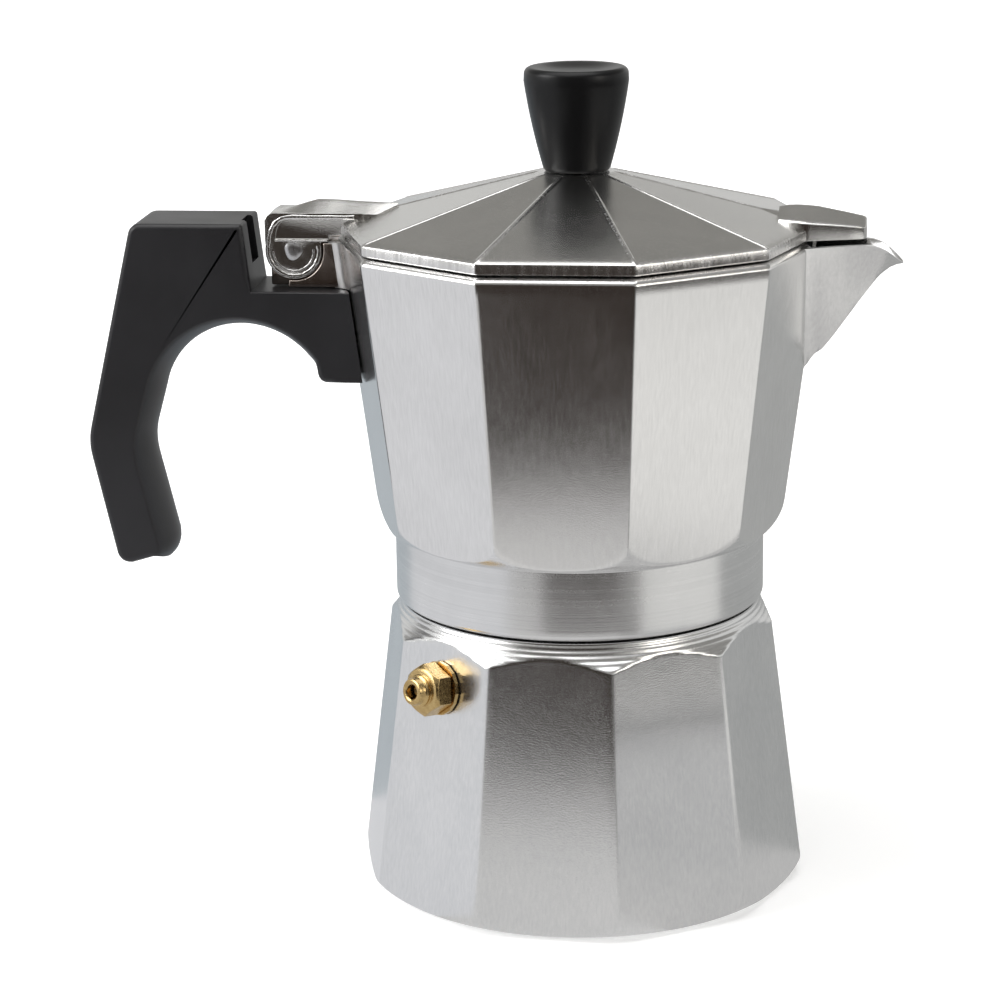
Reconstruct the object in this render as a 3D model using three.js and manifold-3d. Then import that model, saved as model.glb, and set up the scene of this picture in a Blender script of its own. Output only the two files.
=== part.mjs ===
// Ten-sided aluminium moka pot, three-cup size. Millimetres, +Z up.
// Origin: centre of the base on the surface it stands on. The spout points along +X, the handle along -X.
import * as THREE from 'three';
import { mergeVertices } from 'three/addons/utils/BufferGeometryUtils.js';
import { ConvexGeometry } from 'three/addons/geometries/ConvexGeometry.js';
import Module from 'manifold-3d';

const wasm = await Module();
wasm.setup();

// ---------------------------------------------------------------- driving dimensions
const FACETS = 10; // sides of boiler, collector and lid
const SEAT_GAP = 0.3; // left between pieces that touch
const ROUND_SEGMENTS = 40; // facets of a large turned surface, a multiple of FACETS
const SMALL_SEGMENTS = 16; // facets of a small turned surface
const THREAD_STEPS = 24; // steps in one turn of a thread

const collar = {
  radius: 37.5, // turned skirt of the collector, which sets the width of the whole pot
  wall: 2.4, // behind its inside thread
  lift: 0.6, // gap over the boiler shoulder
  overNeck: 2.3, // taller than the neck inside it
  edgeRound: 1.2,
};

const boiler = {
  shoulderFlare: 2.4, // corner edge where it meets the turned shoulder, outside the collar
  widestFlare: 6.2, // corner edge at the top of the foot rounding, outside that
  footInset: 4.7, // flat ring that stands on the stove, inside the widest corner
  widestHeight: 8,
  shoulderDrop: 6.2, // where a corner edge meets the shoulder, below its top
  shoulderHeight: 59, // top of the turned shoulder
  wall: 3,
  floor: 3,
  restAngle: -4.2, // degrees that its corners stand off the collector's when screwed home
};

const neck = {
  height: 11.7, // above the shoulder
  wall: 3.7,
  threadDepth: 0.9,
  pitch: 3.5,
  threadStart: 2, // above the shoulder
  threadEnd: 2, // below the mouth
  threadClearance: 0.3, // crest to crest, so that the collector can lift straight off
};

const collector = {
  wall: 2.6,
  floor: 2.8,
  bottomFlare: 4.3, // corner edge where it meets the turned underside, outside the collar
  bottomCornerRise: 5.3, // height of that point above the collar
  rimFlare: 6.9, // corner at the rim, outside the one at the bottom
  height: 59.3, // rim above the top of the collar
  rimChamfer: 1.4,
};

const spout = {
  reach: 15.9, // tip outside the rim's corner
  tipDrop: 5.1, // tip below the collector rim
  rimDrop: 0.8, // spout rim below the collector rim
  rootHalfWidth: 9,
  mouthHalfWidth: 5,
  mouthReach: 8.8, // where the sides come closest, outside the rim's corner
  keelDepth: 25.5, // lowest point of the keel below the spout rim
  wall: 1.8,
};

const lid = {
  gap: 0.5, // over the collector rim
  rimInset: 0.4, // inside the collector's rim
  rimHeight: 2.2,
  rise: 10.3, // apex flat above the rim band
  apexMargin: 0.5, // apex flat round the knob
  wall: 1.8,
  tabReach: 8.6, // outside the collector rim's corner
  tabRootHalfWidth: 8.8,
  tabEndHalfWidth: 5.5,
  tabRidge: 3.6, // ridge of the tab above the rim band, at its root
};

const hinge = {
  reach: 7.9, // axis of the pin outside the rim's corner
  dropBelowRim: 2.7,
  pinRadius: 1.3,
  pinClearance: 0.35,
  halfWidth: 5, // lug and lid arm
  tongueHalfWidth: 2.5, // middle of the lug, between the lid's cheeks
  tongueWall: 3.45, // round the pin's hole
  cheekWall: 4.05,
  armTail: 5.7, // lid arm behind the pin
  armTop: 7.6, // lid arm above the pin
  tailChamfer: 1.5,
  ridgeRise: 2.2, // ridge of the arm above its edges
  ridgeStart: 4.6, // rear end of the ridge, in front of the pin
  seamDrop: 1.1, // seam between lug and arm, below the rim
  opening: 95, // degrees that the lid opens
  sweepClearance: 0.4,
  sweepMargin: 3, // degrees beyond the opening
  sideGap: 0.25, // between the tongue and each cheek
};

const handle = {
  halfThickness: 9,
  bevel: 1.1,
  topRise: 3.1, // above the collector rim
  ledgeDrop: 10.4, // ledge under the hinge lug, below the rim
  legBottomDrop: 28.9,
  footDrop: 67.7,
  notchLean: 1.5,
  topOuterReach: 2.9, // outside the back of the finger arch
  gripDepth: 13.4, // from the back of the finger arch to the knee
  kneeDrop: 6.3, // below the centre of the arch
  innerKneeDrop: 6.8,
  innerKneeReach: 0.4,
  footInset: 5.8, // outer corner of the foot, inside the knee
  footWidth: 10.2,
  archRadius: 18,
  bridge: 7.2, // between the arch and the ledge
  legReach: 3.5, // outer side of the leg, outside the rim's corner
  grooveHalfWidth: 3.2, // lets the ridge of the lid arm past
  cornerRound: 2,
  bodyGap: 0.5,
};

const rib = { halfThickness: 2.2, rise: 6, reach: 1.7, slotClearance: 0.35 };

const handleScrew = {
  inset: 0.4, // axis inside the rim's corner
  radius: 1,
  headOver: 0.75, // head round the shank
  headHeight: 1.6,
  washerOver: 0.2, // washer round the head
  washer: 0.6,
  grip: 14, // above the foot of the leg
  headProud: 0.7, // of the head below the leg
};

const knob = {
  baseRadius: 6.7,
  topRadius: 10.4,
  height: 20.3,
  rimRound: 1.3,
  dish: 1,
  insertWall: 0.9,
  insertLength: 9,
};

const knobScrew = { radius: 1.9, headRadius: 3.8, headHeight: 2, length: 11, washerOver: 1.4, washer: 0.8 };

const funnel = {
  rimInset: 0.8, // inside the root of the neck's thread
  sheet: 0.8,
  basketClearance: 0.7, // to the neck's bore
  basketDepth: 23,
  coneDepth: 7,
  tubeRadius: 5.2,
  tubeGap: 5.5, // open end above the boiler's floor
};

const gasket = {
  inset: 0.9, // inside the root of the neck's thread
  overlap: 1, // reaches inside the basket's wall
  thickness: 3,
  rebate: 1.4,
  rebateWidth: 1.8,
};

const filterPlate = { thickness: 0.7, holeRadius: 0.75, ringCount: 3, edge: 5.6, holesPerRing: 6 };

const funnelFilter = { thickness: 0.6, holeRadius: 0.75, ringCount: 2, edge: 9.4, holesPerRing: 6, gap: 0.3 };

const column = {
  baseRadius: 7.2,
  topRadius: 5.4,
  bore: 3.6,
  topDrop: 10.7, // below the collector rim
  flangeWidth: 1.8,
  flange: 1.2,
  portRadius: 1.9,
  portDrop: 4.2,
  cap: 1.8,
};

const valve = {
  height: 47.2, // axis where it leaves the boiler's facet
  facet: 6, // facet of the boiler that carries it, counted from the spout side
  hexAcrossFlats: 9.2,
  hexLength: 4,
  shankRadius: 3.6,
  shankReach: 6.4, // into the boiler from the facet
  shankWall: 1,
  collarRadius: 3.25,
  collarLength: 1,
  nozzleRadius: 2.7,
  nozzleLength: 1.7,
  outlet: 1.45,
  washerOver: 0.1, // washer round the corners of the hexagon
  washer: 0.8,
  seatLength: 1.4,
  travel: 1.2,
  poppetGap: 0.4, // round the poppet's head
  poppetHead: 1.2,
  stemRadius: 0.85,
  springWire: 0.3,
  springGap: 0.6, // round the spring
  springTurns: 4.5,
};

const colours = {
  castAluminium: [0xc6c8c8, 0.28, 1],
  sheetAluminium: [0xbfc1c2, 0.4, 1],
  brass: [0xb08d3c, 0.3, 1],
  steel: [0x9a9c9e, 0.35, 1],
  blackPlastic: [0x2a292c, 0.6, 0],
  siliconeWhite: [0xdcdad2, 0.7, 0],
};

// ---------------------------------------------------------------- derived sizes
const cosHalfFacet = Math.cos(Math.PI / FACETS);
const skirtRootRadius = collar.radius - collar.wall;
const skirtCrestRadius = skirtRootRadius - neck.threadDepth;
const neckRootRadius = skirtCrestRadius - neck.threadClearance - neck.threadDepth;
const neckBore = neckRootRadius - neck.wall;
const mouthZ = boiler.shoulderHeight + neck.height;
const threadTurns = (neck.height - neck.threadStart - neck.threadEnd) / neck.pitch;
const threadStartZ = boiler.shoulderHeight + neck.threadStart;
const collarBottomZ = boiler.shoulderHeight + collar.lift;
const collarTopZ = collarBottomZ + neck.height + collar.overNeck;
const funnelRimZ = mouthZ + SEAT_GAP;
const basketRadius = neckBore - funnel.basketClearance;
const basketBore = basketRadius - funnel.sheet;
const gasketZ = funnelRimZ + funnel.sheet + SEAT_GAP;
const gasketRadius = neckRootRadius - gasket.inset;
const gasketBore = basketBore - gasket.overlap;
const filterPlateRadius = gasketBore + gasket.rebateWidth;
const floorUnderZ = gasketZ + gasket.thickness + SEAT_GAP;
const floorTopZ = floorUnderZ + collector.floor;
const rimZ = collarTopZ + collector.height;
const lidBottomZ = rimZ + lid.gap;
const lidBandZ = lidBottomZ + lid.rimHeight;
const apexZ = lidBandZ + lid.rise;
const apexRadius = knob.baseRadius + lid.apexMargin;

const shoulderCornerRadius = collar.radius + boiler.shoulderFlare;
const shoulderCornerZ = boiler.shoulderHeight - boiler.shoulderDrop;
const widestRadius = shoulderCornerRadius + boiler.widestFlare;
const boilerTaper = boiler.widestFlare / (shoulderCornerZ - boiler.widestHeight);
const boilerCorner = (z) => widestRadius - boilerTaper * (z - boiler.widestHeight);

const bottomCornerZ = collarTopZ + collector.bottomCornerRise;
const bottomCornerRadius = collar.radius + collector.bottomFlare;
const rimCornerRadius = bottomCornerRadius + collector.rimFlare;
const collectorTaper = collector.rimFlare / (rimZ - bottomCornerZ);
const collectorCorner = (z) => rimCornerRadius - collectorTaper * (rimZ - z);
const lidCornerRadius = rimCornerRadius - lid.rimInset;

const pinX = -rimCornerRadius - hinge.reach;
const pinZ = rimZ - hinge.dropBelowRim;
const pinHoleRadius = hinge.pinRadius + hinge.pinClearance;
const tongueRadius = pinHoleRadius + hinge.tongueWall;
const cheekRadius = pinHoleRadius + hinge.cheekWall;
const lugTopZ = rimZ - hinge.seamDrop;
const seamZ = lugTopZ + SEAT_GAP;
// Edges of the lid arm that reach furthest from the pin as the lid opens: its sides, and its ridge.
const armSweepRadius = Math.hypot(hinge.armTail - hinge.tailChamfer, hinge.armTop);
const openAngle = THREE.MathUtils.degToRad(hinge.opening);
const ridgeHeight = hinge.armTop + hinge.ridgeRise;
// Point of the ridge that is level with the top of the handle when the lid is fully open.
const handleTopAbovePin = handle.topRise + hinge.dropBelowRim;
const ridgeAtHandleTop = (handleTopAbovePin - ridgeHeight * Math.cos(openAngle)) / Math.sin(openAngle);
const ridgeSweepRadius = Math.hypot(Math.max(ridgeAtHandleTop, hinge.ridgeStart), ridgeHeight);
// Top of the slot in the arm, so that it clears the back of the lug when the lid is fully open.
const slotHeight = (tongueRadius + SEAT_GAP - hinge.armTail * Math.cos(openAngle)) / Math.sin(openAngle);

const ledgeZ = rimZ - handle.ledgeDrop;
const legBottomZ = rimZ - handle.legBottomDrop;
const ribBottomZ = legBottomZ + rib.rise;
const ribX = -rimCornerRadius - rib.reach;
const handleScrewX = -rimCornerRadius + handleScrew.inset;
const screwHeadRadius = handleScrew.radius + handleScrew.headOver;
const handleWasherRadius = screwHeadRadius + handleScrew.washerOver;

// ---------------------------------------------------------------- solids
function closedGeometry(geometry) {
  const bare = geometry.index ? geometry.toNonIndexed() : geometry.clone();
  for (const name of Object.keys(bare.attributes)) {
    if (name !== 'position') bare.deleteAttribute(name);
  }
  const merged = mergeVertices(bare, 1e-4);
  const index = merged.index.array;
  const kept = [];
  for (let i = 0; i < index.length; i += 3) {
    const [a, b, c] = [index[i], index[i + 1], index[i + 2]];
    if (a !== b && b !== c && c !== a) kept.push(a, b, c);
  }
  merged.setIndex(kept);
  return merged;
}

function signedVolume(geometry) {
  const p = geometry.attributes.position;
  const index = geometry.index.array;
  const [a, b, c] = [new THREE.Vector3(), new THREE.Vector3(), new THREE.Vector3()];
  let sum = 0;
  for (let i = 0; i < index.length; i += 3) {
    a.fromBufferAttribute(p, index[i]);
    b.fromBufferAttribute(p, index[i + 1]);
    c.fromBufferAttribute(p, index[i + 2]);
    sum += a.dot(b.cross(c));
  }
  return sum / 6;
}

function solid(geometry) {
  const closed = closedGeometry(geometry);
  const triVerts = Uint32Array.from(closed.index.array);
  if (signedVolume(closed) < 0) triVerts.reverse();
  const vertProperties = Float32Array.from(closed.attributes.position.array);
  return new wasm.Manifold(new wasm.Mesh({ numProp: 3, vertProperties, triVerts }));
}

function geometryOf(manifold) {
  const { numProp, vertProperties, triVerts } = manifold.getMesh();
  const position = new Float32Array((vertProperties.length / numProp) * 3);
  for (let i = 0; i < position.length / 3; i += 1) {
    for (let k = 0; k < 3; k += 1) position[3 * i + k] = vertProperties[numProp * i + k];
  }
  const geometry = new THREE.BufferGeometry();
  geometry.setAttribute('position', new THREE.BufferAttribute(position, 3));
  geometry.setIndex(Array.from(triVerts));
  geometry.computeVertexNormals();
  return geometry;
}

// A profile is a list of [radius, height] pairs, turned about Z; one corner of the turned polygon lies on +X.
function turned(profile, segments = ROUND_SEGMENTS) {
  const points = profile.map(([r, z]) => new THREE.Vector2(r, z));
  return new THREE.LatheGeometry(points, segments).rotateX(Math.PI / 2).rotateZ(Math.PI / 2);
}

function closedProfile(profile) {
  return [...profile, profile[0]];
}

// A ten-sided solid whose profile gives the corner radius.
function faceted(profile) {
  return turned(profile, FACETS);
}

// A plate with an outline in the X-Z plane, spread equally on both sides of y = 0.
function sidePlate(shape, halfWidth, bevel = 0) {
  const depth = 2 * (halfWidth - bevel);
  const options = { depth, curveSegments: 14, bevelEnabled: bevel > 0 };
  if (bevel > 0) {
    const bevels = { bevelSize: bevel, bevelThickness: bevel, bevelOffset: -bevel, bevelSegments: 2 };
    Object.assign(options, bevels);
  }
  return new THREE.ExtrudeGeometry(shape, options).translate(0, 0, -depth / 2).rotateX(Math.PI / 2);
}

function outline(points) {
  return new THREE.Shape(points.map(([x, z]) => new THREE.Vector2(x, z)));
}

function disc(radius, x, z) {
  const shape = new THREE.Shape();
  shape.absarc(x, z, radius, 0, 2 * Math.PI);
  return shape;
}

function pinAlongY(radius, halfLength, x, z) {
  return new THREE.CylinderGeometry(radius, radius, 2 * halfLength, SMALL_SEGMENTS).translate(x, 0, z);
}

function post(radius, bottom, top, x = 0, y = 0, segments = SMALL_SEGMENTS) {
  const geometry = new THREE.CylinderGeometry(radius, radius, top - bottom, segments).rotateX(Math.PI / 2);
  return geometry.translate(x, y, (bottom + top) / 2);
}

function block([x0, y0, z0], [x1, y1, z1]) {
  const geometry = new THREE.BoxGeometry(x1 - x0, y1 - y0, z1 - z0);
  return geometry.translate((x0 + x1) / 2, (y0 + y1) / 2, (z0 + z1) / 2);
}

// Points given as [x, half width, z] stand on both sides of the X-Z plane.
function mirroredHull(points) {
  const all = [];
  for (const [x, y, z] of points) {
    all.push(new THREE.Vector3(x, y, z));
    if (y > 0) all.push(new THREE.Vector3(x, -y, z));
  }
  return new ConvexGeometry(all);
}

class Helix extends THREE.Curve {
  constructor(radius, pitch, turns, startZ) {
    super();
    Object.assign(this, { radius, pitch, turns, startZ });
  }

  getPoint(t, target = new THREE.Vector3()) {
    const angle = 2 * Math.PI * this.turns * t;
    return target.set(
      this.radius * Math.cos(angle),
      this.radius * Math.sin(angle),
      this.startZ + this.pitch * this.turns * t,
    );
  }
}

function coil(path, sectionRadius, sides, stepsPerTurn) {
  const section = new THREE.Shape();
  for (let i = 0; i < sides; i += 1) {
    const angle = (2 * Math.PI * i) / sides;
    const [x, y] = [sectionRadius * Math.cos(angle), sectionRadius * Math.sin(angle)];
    if (i === 0) section.moveTo(x, y);
    else section.lineTo(x, y);
  }
  section.closePath();
  const steps = Math.round(path.turns * stepsPerTurn);
  return new THREE.ExtrudeGeometry(section, { steps, bevelEnabled: false, extrudePath: path });
}

function unite(first, ...others) {
  return others.reduce((sum, other) => sum.add(other), first);
}

function cut(from, ...tools) {
  return tools.reduce((rest, tool) => rest.subtract(tool), from);
}

const assembly = new THREE.Group();

function addMesh(parent, name, geometry, [color, roughness, metalness]) {
  const mesh = new THREE.Mesh(geometry, new THREE.MeshStandardMaterial({ color, roughness, metalness }));
  mesh.name = name;
  parent.add(mesh);
  return mesh;
}

// ---------------------------------------------------------------- boiler
// The valve's own frame has Z along its axis, outward, with zero on the boiler's facet.
const valveAngle = THREE.MathUtils.degToRad(boiler.restAngle) +
  ((valve.facet + 0.5) * 2 * Math.PI) / FACETS;
const facetTilt = Math.atan(boilerTaper * cosHalfFacet);
const valveRadius = boilerCorner(valve.height) * cosHalfFacet;

function placeValvePiece(geometry) {
  geometry.rotateY(Math.PI / 2 - facetTilt);
  geometry.rotateZ(valveAngle);
  const [x, y] = [valveRadius * Math.cos(valveAngle), valveRadius * Math.sin(valveAngle)];
  return geometry.translate(x, y, valve.height);
}

function boilerEnvelope() {
  const topRadius = collar.radius - 1;
  const shoulder = new THREE.QuadraticBezierCurve(
    new THREE.Vector2(shoulderCornerRadius + 1.2, shoulderCornerZ - 4.3),
    new THREE.Vector2(shoulderCornerRadius - 0.8, boiler.shoulderHeight - 1.2),
    new THREE.Vector2(topRadius, boiler.shoulderHeight),
  );
  const foot = new THREE.QuadraticBezierCurve(
    new THREE.Vector2(widestRadius - boiler.footInset, 0),
    new THREE.Vector2(widestRadius - 0.8, 0.6),
    new THREE.Vector2(widestRadius + 0.4, boiler.widestHeight),
  );
  const pairs = (curve, count) => curve.getPoints(count).map((point) => [point.x, point.y]);
  return [[0, 0], ...pairs(foot, 4), ...pairs(shoulder, 5), [neckRootRadius, boiler.shoulderHeight],
    [neckRootRadius, mouthZ], [0, mouthZ]];
}

function boilerCavity() {
  const innerAt = (z) => boilerCorner(z) * cosHalfFacet - boiler.wall;
  const low = boiler.floor + 4;
  const high = shoulderCornerZ - 4;
  const mouthStart = boiler.shoulderHeight - 2;
  return [[0, boiler.floor], [innerAt(low) - 4, boiler.floor], [innerAt(low), low], [innerAt(high), high],
    [neckBore, mouthStart], [neckBore, mouthZ + 1], [0, mouthZ + 1]];
}

function makeBoiler() {
  const [below, above] = [-1, mouthZ + 1];
  const facets = faceted([[0, below], [boilerCorner(below), below], [boilerCorner(above), above],
    [0, above]]);
  facets.rotateZ(THREE.MathUtils.degToRad(boiler.restAngle));
  const ridge = new Helix(neckRootRadius, neck.pitch, threadTurns, threadStartZ);
  const shell = unite(
    solid(turned(boilerEnvelope())).intersect(solid(facets)),
    solid(coil(ridge, neck.threadDepth, 5, THREAD_STEPS)),
  );
  const valveHole = placeValvePiece(post(valve.shankRadius + SEAT_GAP, -2 * valve.shankReach, 3));
  return cut(shell, solid(turned(boilerCavity())), solid(valveHole));
}

// ---------------------------------------------------------------- safety valve
const valveBack = -valve.shankReach;
const nozzleStart = SEAT_GAP + valve.washer + SEAT_GAP + valve.hexLength + valve.collarLength;
const nozzleEnd = nozzleStart + valve.nozzleLength;
const hexStart = SEAT_GAP + valve.washer + SEAT_GAP;
const chamberEnd = hexStart + valve.hexLength - 0.8;

const hexCornerRadius = valve.hexAcrossFlats / Math.cos(Math.PI / 6) / 2;
const valveChamber = valve.shankRadius - valve.shankWall;

function makeValveBody() {
  const chamfer = 0.7;
  const hexEnd = hexStart + valve.hexLength;
  const hexagon = solid(post(hexCornerRadius, hexStart, hexEnd, 0, 0, 6));
  const bevelled = solid(turned([[0, hexStart - 1], [hexCornerRadius + 1, hexStart - 1],
    [hexCornerRadius + 1, hexEnd - chamfer - 1], [hexCornerRadius - chamfer, hexEnd], [0, hexEnd]],
  SMALL_SEGMENTS));
  const { shankRadius, collarRadius, nozzleRadius } = valve;
  const turnedPart = solid(turned([[0, valveBack], [shankRadius, valveBack], [shankRadius, hexStart + 1],
    [collarRadius, hexStart + 1], [collarRadius, nozzleStart], [nozzleRadius, nozzleStart],
    [nozzleRadius, nozzleEnd - 0.4], [nozzleRadius - 0.4, nozzleEnd], [0, nozzleEnd]], SMALL_SEGMENTS));
  const bore = solid(turned([[0, valveBack - 1], [valveChamber, valveBack - 1], [valveChamber, chamberEnd],
    [valve.outlet, chamberEnd], [valve.outlet, nozzleEnd + 1], [0, nozzleEnd + 1]], SMALL_SEGMENTS));
  return placeValvePiece(geometryOf(cut(unite(hexagon.intersect(bevelled), turnedPart), bore)));
}

function makeValveWasher() {
  const inner = valve.shankRadius + SEAT_GAP;
  const washerRadius = hexCornerRadius + valve.washerOver;
  const [bottom, top] = [SEAT_GAP, SEAT_GAP + valve.washer];
  return placeValvePiece(turned(closedProfile([[inner, bottom], [washerRadius, bottom],
    [washerRadius, top], [inner, top]]), SMALL_SEGMENTS));
}

function makeValveSeat() {
  const outer = valveChamber - 0.15;
  const [bottom, top] = [valveBack + 0.2, valveBack + 0.2 + valve.seatLength];
  return placeValvePiece(turned(closedProfile([[valve.outlet, bottom], [outer, bottom],
    [outer, top], [valve.outlet, top]]), SMALL_SEGMENTS));
}

const poppetBack = valveBack + 0.2 + valve.seatLength + 0.1;
const springBack = poppetBack + valve.poppetHead + valve.travel + valve.springWire + 0.1;

function makeValvePoppet() {
  const headRadius = valveChamber - valve.poppetGap;
  const headTop = poppetBack + valve.poppetHead;
  const stemTop = nozzleEnd - valve.travel - 0.5;
  return placeValvePiece(turned([[0, poppetBack], [valve.outlet, poppetBack], [headRadius, poppetBack + 0.5],
    [headRadius, headTop], [valve.stemRadius, headTop], [valve.stemRadius, stemTop], [0, stemTop]],
  SMALL_SEGMENTS));
}

function makeValveSpring() {
  const length = chamberEnd - 0.1 - valve.springWire - springBack;
  const coilRadius = valveChamber - valve.springGap - valve.springWire;
  const path = new Helix(coilRadius, length / valve.springTurns, valve.springTurns, springBack);
  return placeValvePiece(coil(path, valve.springWire, 5, 10));
}

// ---------------------------------------------------------------- funnel and its filter
const basketFloorZ = funnelRimZ - funnel.basketDepth;

function makeFunnel() {
  const { sheet, tubeRadius } = funnel;
  const rimRadius = neckRootRadius - funnel.rimInset;
  const top = funnelRimZ + sheet;
  const coneEnd = basketFloorZ - funnel.coneDepth;
  const tubeEnd = boiler.floor + funnel.tubeGap;
  return turned(closedProfile([[rimRadius, funnelRimZ], [rimRadius, top], [basketBore, top],
    [basketBore, basketFloorZ], [tubeRadius - sheet, coneEnd], [tubeRadius - sheet, tubeEnd],
    [tubeRadius, tubeEnd], [tubeRadius, coneEnd - sheet / 2], [basketRadius, basketFloorZ - sheet],
    [basketRadius, funnelRimZ]]));
}

// A round plate with rings of holes, evenly spaced from the centre to the edge margin.
function perforated(radius, bottom, { thickness, holeRadius, ringCount, edge, holesPerRing }) {
  let plate = solid(post(radius, bottom, bottom + thickness, 0, 0, ROUND_SEGMENTS));
  for (let ring = 1; ring <= ringCount; ring += 1) {
    const ringRadius = (ring * (radius - edge)) / ringCount;
    const count = holesPerRing * ring;
    for (let i = 0; i < count; i += 1) {
      const angle = (2 * Math.PI * i) / count;
      const [x, y] = [ringRadius * Math.cos(angle), ringRadius * Math.sin(angle)];
      plate = plate.subtract(solid(post(holeRadius, bottom - 1, bottom + thickness + 1, x, y, 5)));
    }
  }
  return geometryOf(plate);
}

function makeFunnelFilter() {
  const radius = (basketBore - funnelFilter.gap) * Math.cos(Math.PI / ROUND_SEGMENTS);
  return perforated(radius, basketFloorZ + funnelFilter.gap, funnelFilter);
}

// ---------------------------------------------------------------- gasket and filter plate
function makeGasket() {
  const top = gasketZ + gasket.thickness;
  const rebateRadius = filterPlateRadius + SEAT_GAP;
  return turned(closedProfile([[gasketBore, gasketZ], [gasketRadius, gasketZ],
    [gasketRadius, top], [rebateRadius, top], [rebateRadius, top - gasket.rebate],
    [gasketBore, top - gasket.rebate]]));
}

function makeFilterPlate() {
  const bottom = gasketZ + gasket.thickness - gasket.rebate + SEAT_GAP;
  return perforated(filterPlateRadius, bottom, filterPlate);
}

// ---------------------------------------------------------------- collector
function collectorEnvelope() {
  const underside = new THREE.QuadraticBezierCurve(
    new THREE.Vector2(collar.radius, collarTopZ),
    new THREE.Vector2(bottomCornerRadius - 0.9, collarTopZ + 1.2),
    new THREE.Vector2(bottomCornerRadius + 0.1, bottomCornerZ + 0.4),
  );
  const pairs = underside.getPoints(4).map((point) => [point.x, point.y]);
  return [[0, collarBottomZ], [collar.radius - collar.edgeRound, collarBottomZ],
    [collar.radius - 0.3 * collar.edgeRound, collarBottomZ + 0.3 * collar.edgeRound],
    [collar.radius, collarBottomZ + collar.edgeRound], ...pairs,
    [rimCornerRadius + 1, rimZ + 1], [0, rimZ + 1]];
}

function collectorFacets() {
  const chamferZ = rimZ - collector.rimChamfer;
  const rimTop = rimCornerRadius - 0.8 * collector.rimChamfer;
  return faceted([[0, collarBottomZ - 1], [collectorCorner(collarBottomZ - 1), collarBottomZ - 1],
    [collectorCorner(chamferZ), chamferZ], [rimTop, rimZ], [0, rimZ]]);
}

function collectorCavity() {
  const innerAt = (z) => collectorCorner(z) - collector.wall / cosHalfFacet;
  const low = floorTopZ + 4;
  return faceted([[0, floorTopZ], [innerAt(low) - 5, floorTopZ], [innerAt(low), low],
    [innerAt(rimZ + 2), rimZ + 2], [0, rimZ + 2]]);
}

// Skirt bore with its inside thread left standing, the gasket seat above it, and the hole for the column.
function collectorUnderside() {
  const gasketSeat = gasketRadius + SEAT_GAP;
  const threadTopZ = gasketZ - SEAT_GAP;
  const holeRadius = column.baseRadius + SEAT_GAP;
  const bore = solid(turned([[0, collarBottomZ - 1], [skirtRootRadius, collarBottomZ - 1],
    [skirtRootRadius, threadTopZ], [gasketSeat, threadTopZ], [gasketSeat, floorUnderZ],
    [holeRadius, floorUnderZ], [holeRadius, floorTopZ + 1], [0, floorTopZ + 1]]));
  const path = new Helix(skirtRootRadius, neck.pitch, threadTurns, threadStartZ + neck.pitch / 2);
  return bore.subtract(solid(coil(path, neck.threadDepth, 5, THREAD_STEPS)));
}

const spoutRimZ = rimZ - spout.rimDrop;
const tipZ = rimZ - spout.tipDrop;
const tipX = rimCornerRadius + spout.reach;
const spoutMouthX = rimCornerRadius + spout.mouthReach;
const keelZ = spoutRimZ - spout.keelDepth;
const keelX = collectorCorner(keelZ) - 0.4;

function makeSpoutOutside() {
  const { rootHalfWidth, mouthHalfWidth } = spout;
  const rootX = rimCornerRadius - 3;
  const inside = rimCornerRadius - 7;
  const neckX = tipX - 4.1;
  const neckHalfWidth = 0.9 * mouthHalfWidth;
  const prow = mirroredHull([[inside, rootHalfWidth, spoutRimZ], [rootX, rootHalfWidth, spoutRimZ],
    [spoutMouthX, mouthHalfWidth, spoutRimZ], [neckX, neckHalfWidth, spoutRimZ - 0.9],
    [neckX, 0.6, tipZ - 1.9], [inside, 0.6, keelZ], [keelX, 0, keelZ]]);
  const lip = mirroredHull([[spoutMouthX, mouthHalfWidth, spoutRimZ], [neckX, neckHalfWidth, spoutRimZ - 0.9],
    [tipX - 1.4, 0.6 * mouthHalfWidth, tipZ + 1.8], [tipX, 0.4, tipZ], [tipX, 0.4, tipZ - 0.4],
    [neckX - 0.4, 0, tipZ - 2.2], [spoutMouthX, 0.6, tipZ - 1]]);
  return unite(solid(prow), solid(lip));
}

function makeSpoutChannel() {
  const { wall, rootHalfWidth, mouthHalfWidth } = spout;
  const top = rimZ + 3;
  const inside = rimCornerRadius - 9;
  const rootX = rimCornerRadius - 3;
  const [lowX, lowZ] = [keelX + 0.5, keelZ + 2.6 * wall];
  const slope = (tipX - 4.1 - keelX) / (tipZ - 1.9 - keelZ);
  const mouthKeelZ = tipZ + 0.7;
  const mouthKeelX = keelX + slope * (mouthKeelZ - keelZ) - wall * 1.4;
  const channel = mirroredHull([[inside, rootHalfWidth - wall, top], [rootX, rootHalfWidth - wall, top],
    [spoutMouthX, mouthHalfWidth - 0.8 * wall, top], [tipX - 3.8, 0.9 * mouthHalfWidth - 0.8 * wall, top],
    [mouthKeelX, 0.5, mouthKeelZ], [inside, 0.5, lowZ], [lowX - wall, 0.2, lowZ]]);
  const runOut = mirroredHull([[mouthKeelX - 2, 1.4, mouthKeelZ], [mouthKeelX - 2, 2.8, top],
    [tipX - 4.2, 3, top], [tipX - 1.4, 1.9, top], [tipX + 0.3, 0.1, top],
    [tipX - 4.2, 1.4, tipZ + 0.5], [tipX - 1.4, 1, tipZ + 0.3], [tipX + 0.3, 0.1, tipZ + 0.15]]);
  return unite(solid(channel), solid(runOut));
}

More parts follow.
